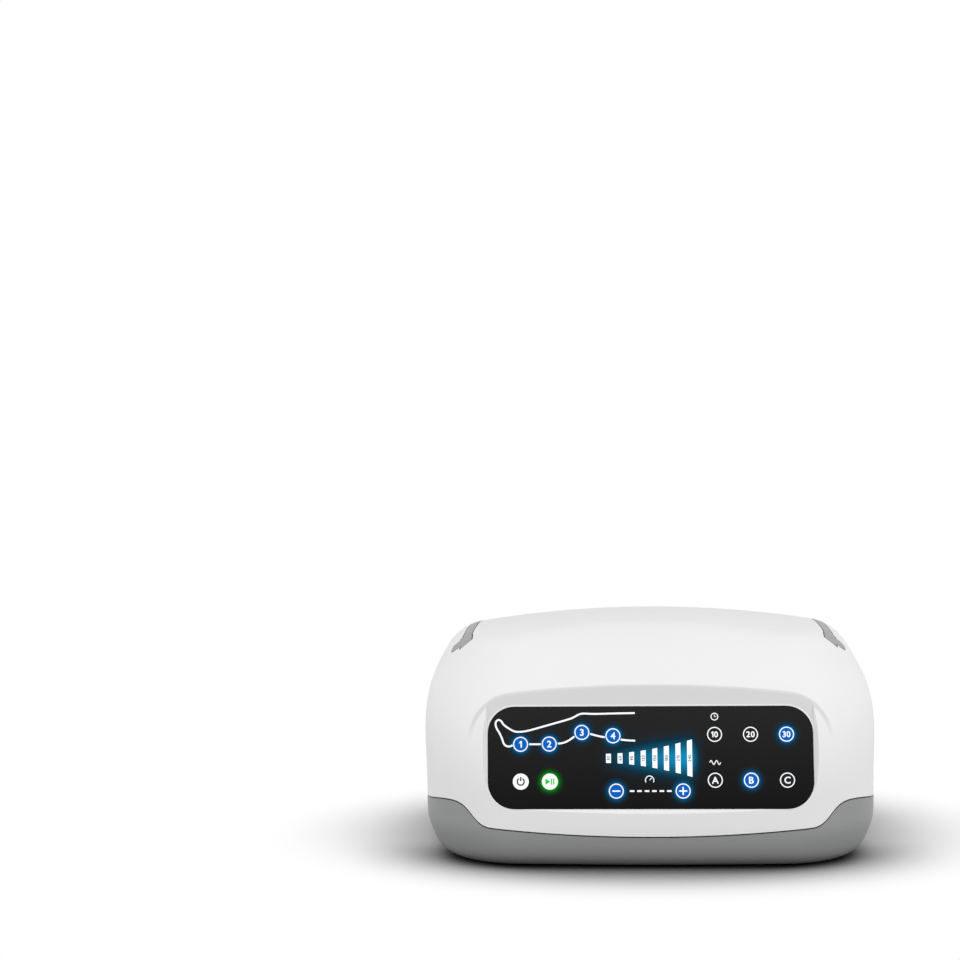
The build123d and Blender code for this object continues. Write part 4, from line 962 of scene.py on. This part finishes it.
def contact_shade(tree):
    """The darkening of the floor near the pump, deeper in front of it than beside it."""
    hollow = tree.nodes.new("ShaderNodeAmbientOcclusion")
    hollow.samples = CONTACT_SAMPLES
    hollow.inputs["Distance"].default_value = CONTACT_REACH
    split = tree.nodes.new("ShaderNodeSeparateXYZ")
    tree.links.new(object_space(tree), split.inputs["Vector"])
    power = ramp(tree, split.outputs["Y"], CONTACT_TURN, (CONTACT_FRONT, CONTACT_SIDE))
    return math_of(tree, "POWER", hollow.outputs["AO"], power)


def floor_material():
    """Pale floor that fades into the white background away from the pump."""
    made, tree, shader = new_material("studio_white")
    seen = background_rays(tree)
    pale = vector_of(tree, "SCALE", tint(tree, seen, FLOOR_BOUNCE, FLOOR_WHITE), contact_shade(tree))
    tree.links.new(pale, shader.inputs["Base Color"])
    shader.inputs["Roughness"].default_value = FLOOR_ROUGHNESS
    shader.inputs["Specular IOR Level"].default_value = FLOOR_SPECULAR
    shape = tree.nodes.new("ShaderNodeMapping")
    shape.inputs["Scale"].default_value = FADE_SHAPE
    tree.links.new(object_space(tree), shape.inputs["Vector"])
    away = vector_of(tree, "LENGTH", shape.outputs["Vector"])
    fade = ramp(tree, away, FADE_SPAN, (0.0, 1.0))
    white = tree.nodes.new("ShaderNodeEmission")
    white.inputs["Color"].default_value = (1, 1, 1, 1)
    white.inputs["Strength"].default_value = 1.0
    blend = tree.nodes.new("ShaderNodeMixShader")
    tree.links.new(math_of(tree, "MULTIPLY", fade, seen), blend.inputs[0])
    tree.links.new(shader.outputs["BSDF"], blend.inputs[1])
    tree.links.new(white.outputs["Emission"], blend.inputs[2])
    tree.links.new(blend.outputs["Shader"], tree.nodes["Material Output"].inputs["Surface"])
    return made


def floor():
    """A pale floor under the pump."""
    corners = [(x * FLOOR_REACH, y * FLOOR_REACH, 0) for x, y in ((-1, -1), (1, -1), (1, 1), (-1, 1))]
    mesh = bpy.data.meshes.new("floor")
    mesh.from_pydata(corners, [], [(0, 1, 2, 3)])
    mesh.materials.append(floor_material())
    made = bpy.data.objects.new("floor", mesh)
    bpy.context.scene.collection.objects.link(made)


def world_light():
    """Soft white light from all round; what is seen of it is plain white."""
    world = bpy.data.worlds.new("studio")
    bpy.context.scene.world = world
    world.use_nodes = True
    tree = world.node_tree
    background = tree.nodes["Background"]
    background.inputs["Color"].default_value = (1, 1, 1, 1)
    level = between(tree, background_rays(tree), WORLD_STRENGTH, 1.0)
    tree.links.new(level, background.inputs["Strength"])


def lamp(name, side, power):
    """A large soft area lamp in front of the pump; side is -1 for the left and 1 for the right."""
    light = bpy.data.lights.new(name, "AREA")
    light.shape = "RECTANGLE"
    light.size = LIGHT_SIZE
    light.size_y = LIGHT_SIZE
    light.energy = power
    made = bpy.data.objects.new(name, light)
    place = Vector((side * LIGHT_OUT, -LIGHT_FRONT, LIGHT_HEIGHT))
    made.location = place
    made.rotation_euler = (LIGHT_AIM - place).to_track_quat("-Z", "Y").to_euler()
    bpy.context.scene.collection.objects.link(made)


def camera():
    """The view of the photograph, by place, yaw, pitch and roll."""
    data = bpy.data.cameras.new("camera")
    data.lens = CAMERA_LENS
    data.sensor_width = SENSOR_WIDTH
    data.clip_start = CAMERA_NEAR
    made = bpy.data.objects.new("camera", data)
    ahead = Vector((
        math.sin(CAMERA_YAW) * math.cos(CAMERA_PITCH),
        math.cos(CAMERA_YAW) * math.cos(CAMERA_PITCH),
        math.sin(CAMERA_PITCH),
    ))
    level_right = ahead.cross(Vector((0, 0, 1))).normalized()
    level_up = level_right.cross(ahead)
    right = level_right * math.cos(CAMERA_ROLL) + level_up * math.sin(CAMERA_ROLL)
    up = level_up * math.cos(CAMERA_ROLL) - level_right * math.sin(CAMERA_ROLL)
    turn = Matrix((right, up, -ahead)).transposed().to_4x4()
    made.matrix_world = Matrix.Translation(CAMERA_PLACE) @ turn
    bpy.context.scene.collection.objects.link(made)
    bpy.context.scene.camera = made


# ---------------------------------------------------------------- build
dress_nodes()
key_marks()
panel_marks()
floor()
world_light()
lamp("left_light", -1, LEFT_LIGHT_POWER)
lamp("right_light", 1, RIGHT_LIGHT_POWER)
camera()
bpy.context.scene.view_settings.view_transform = "Standard"
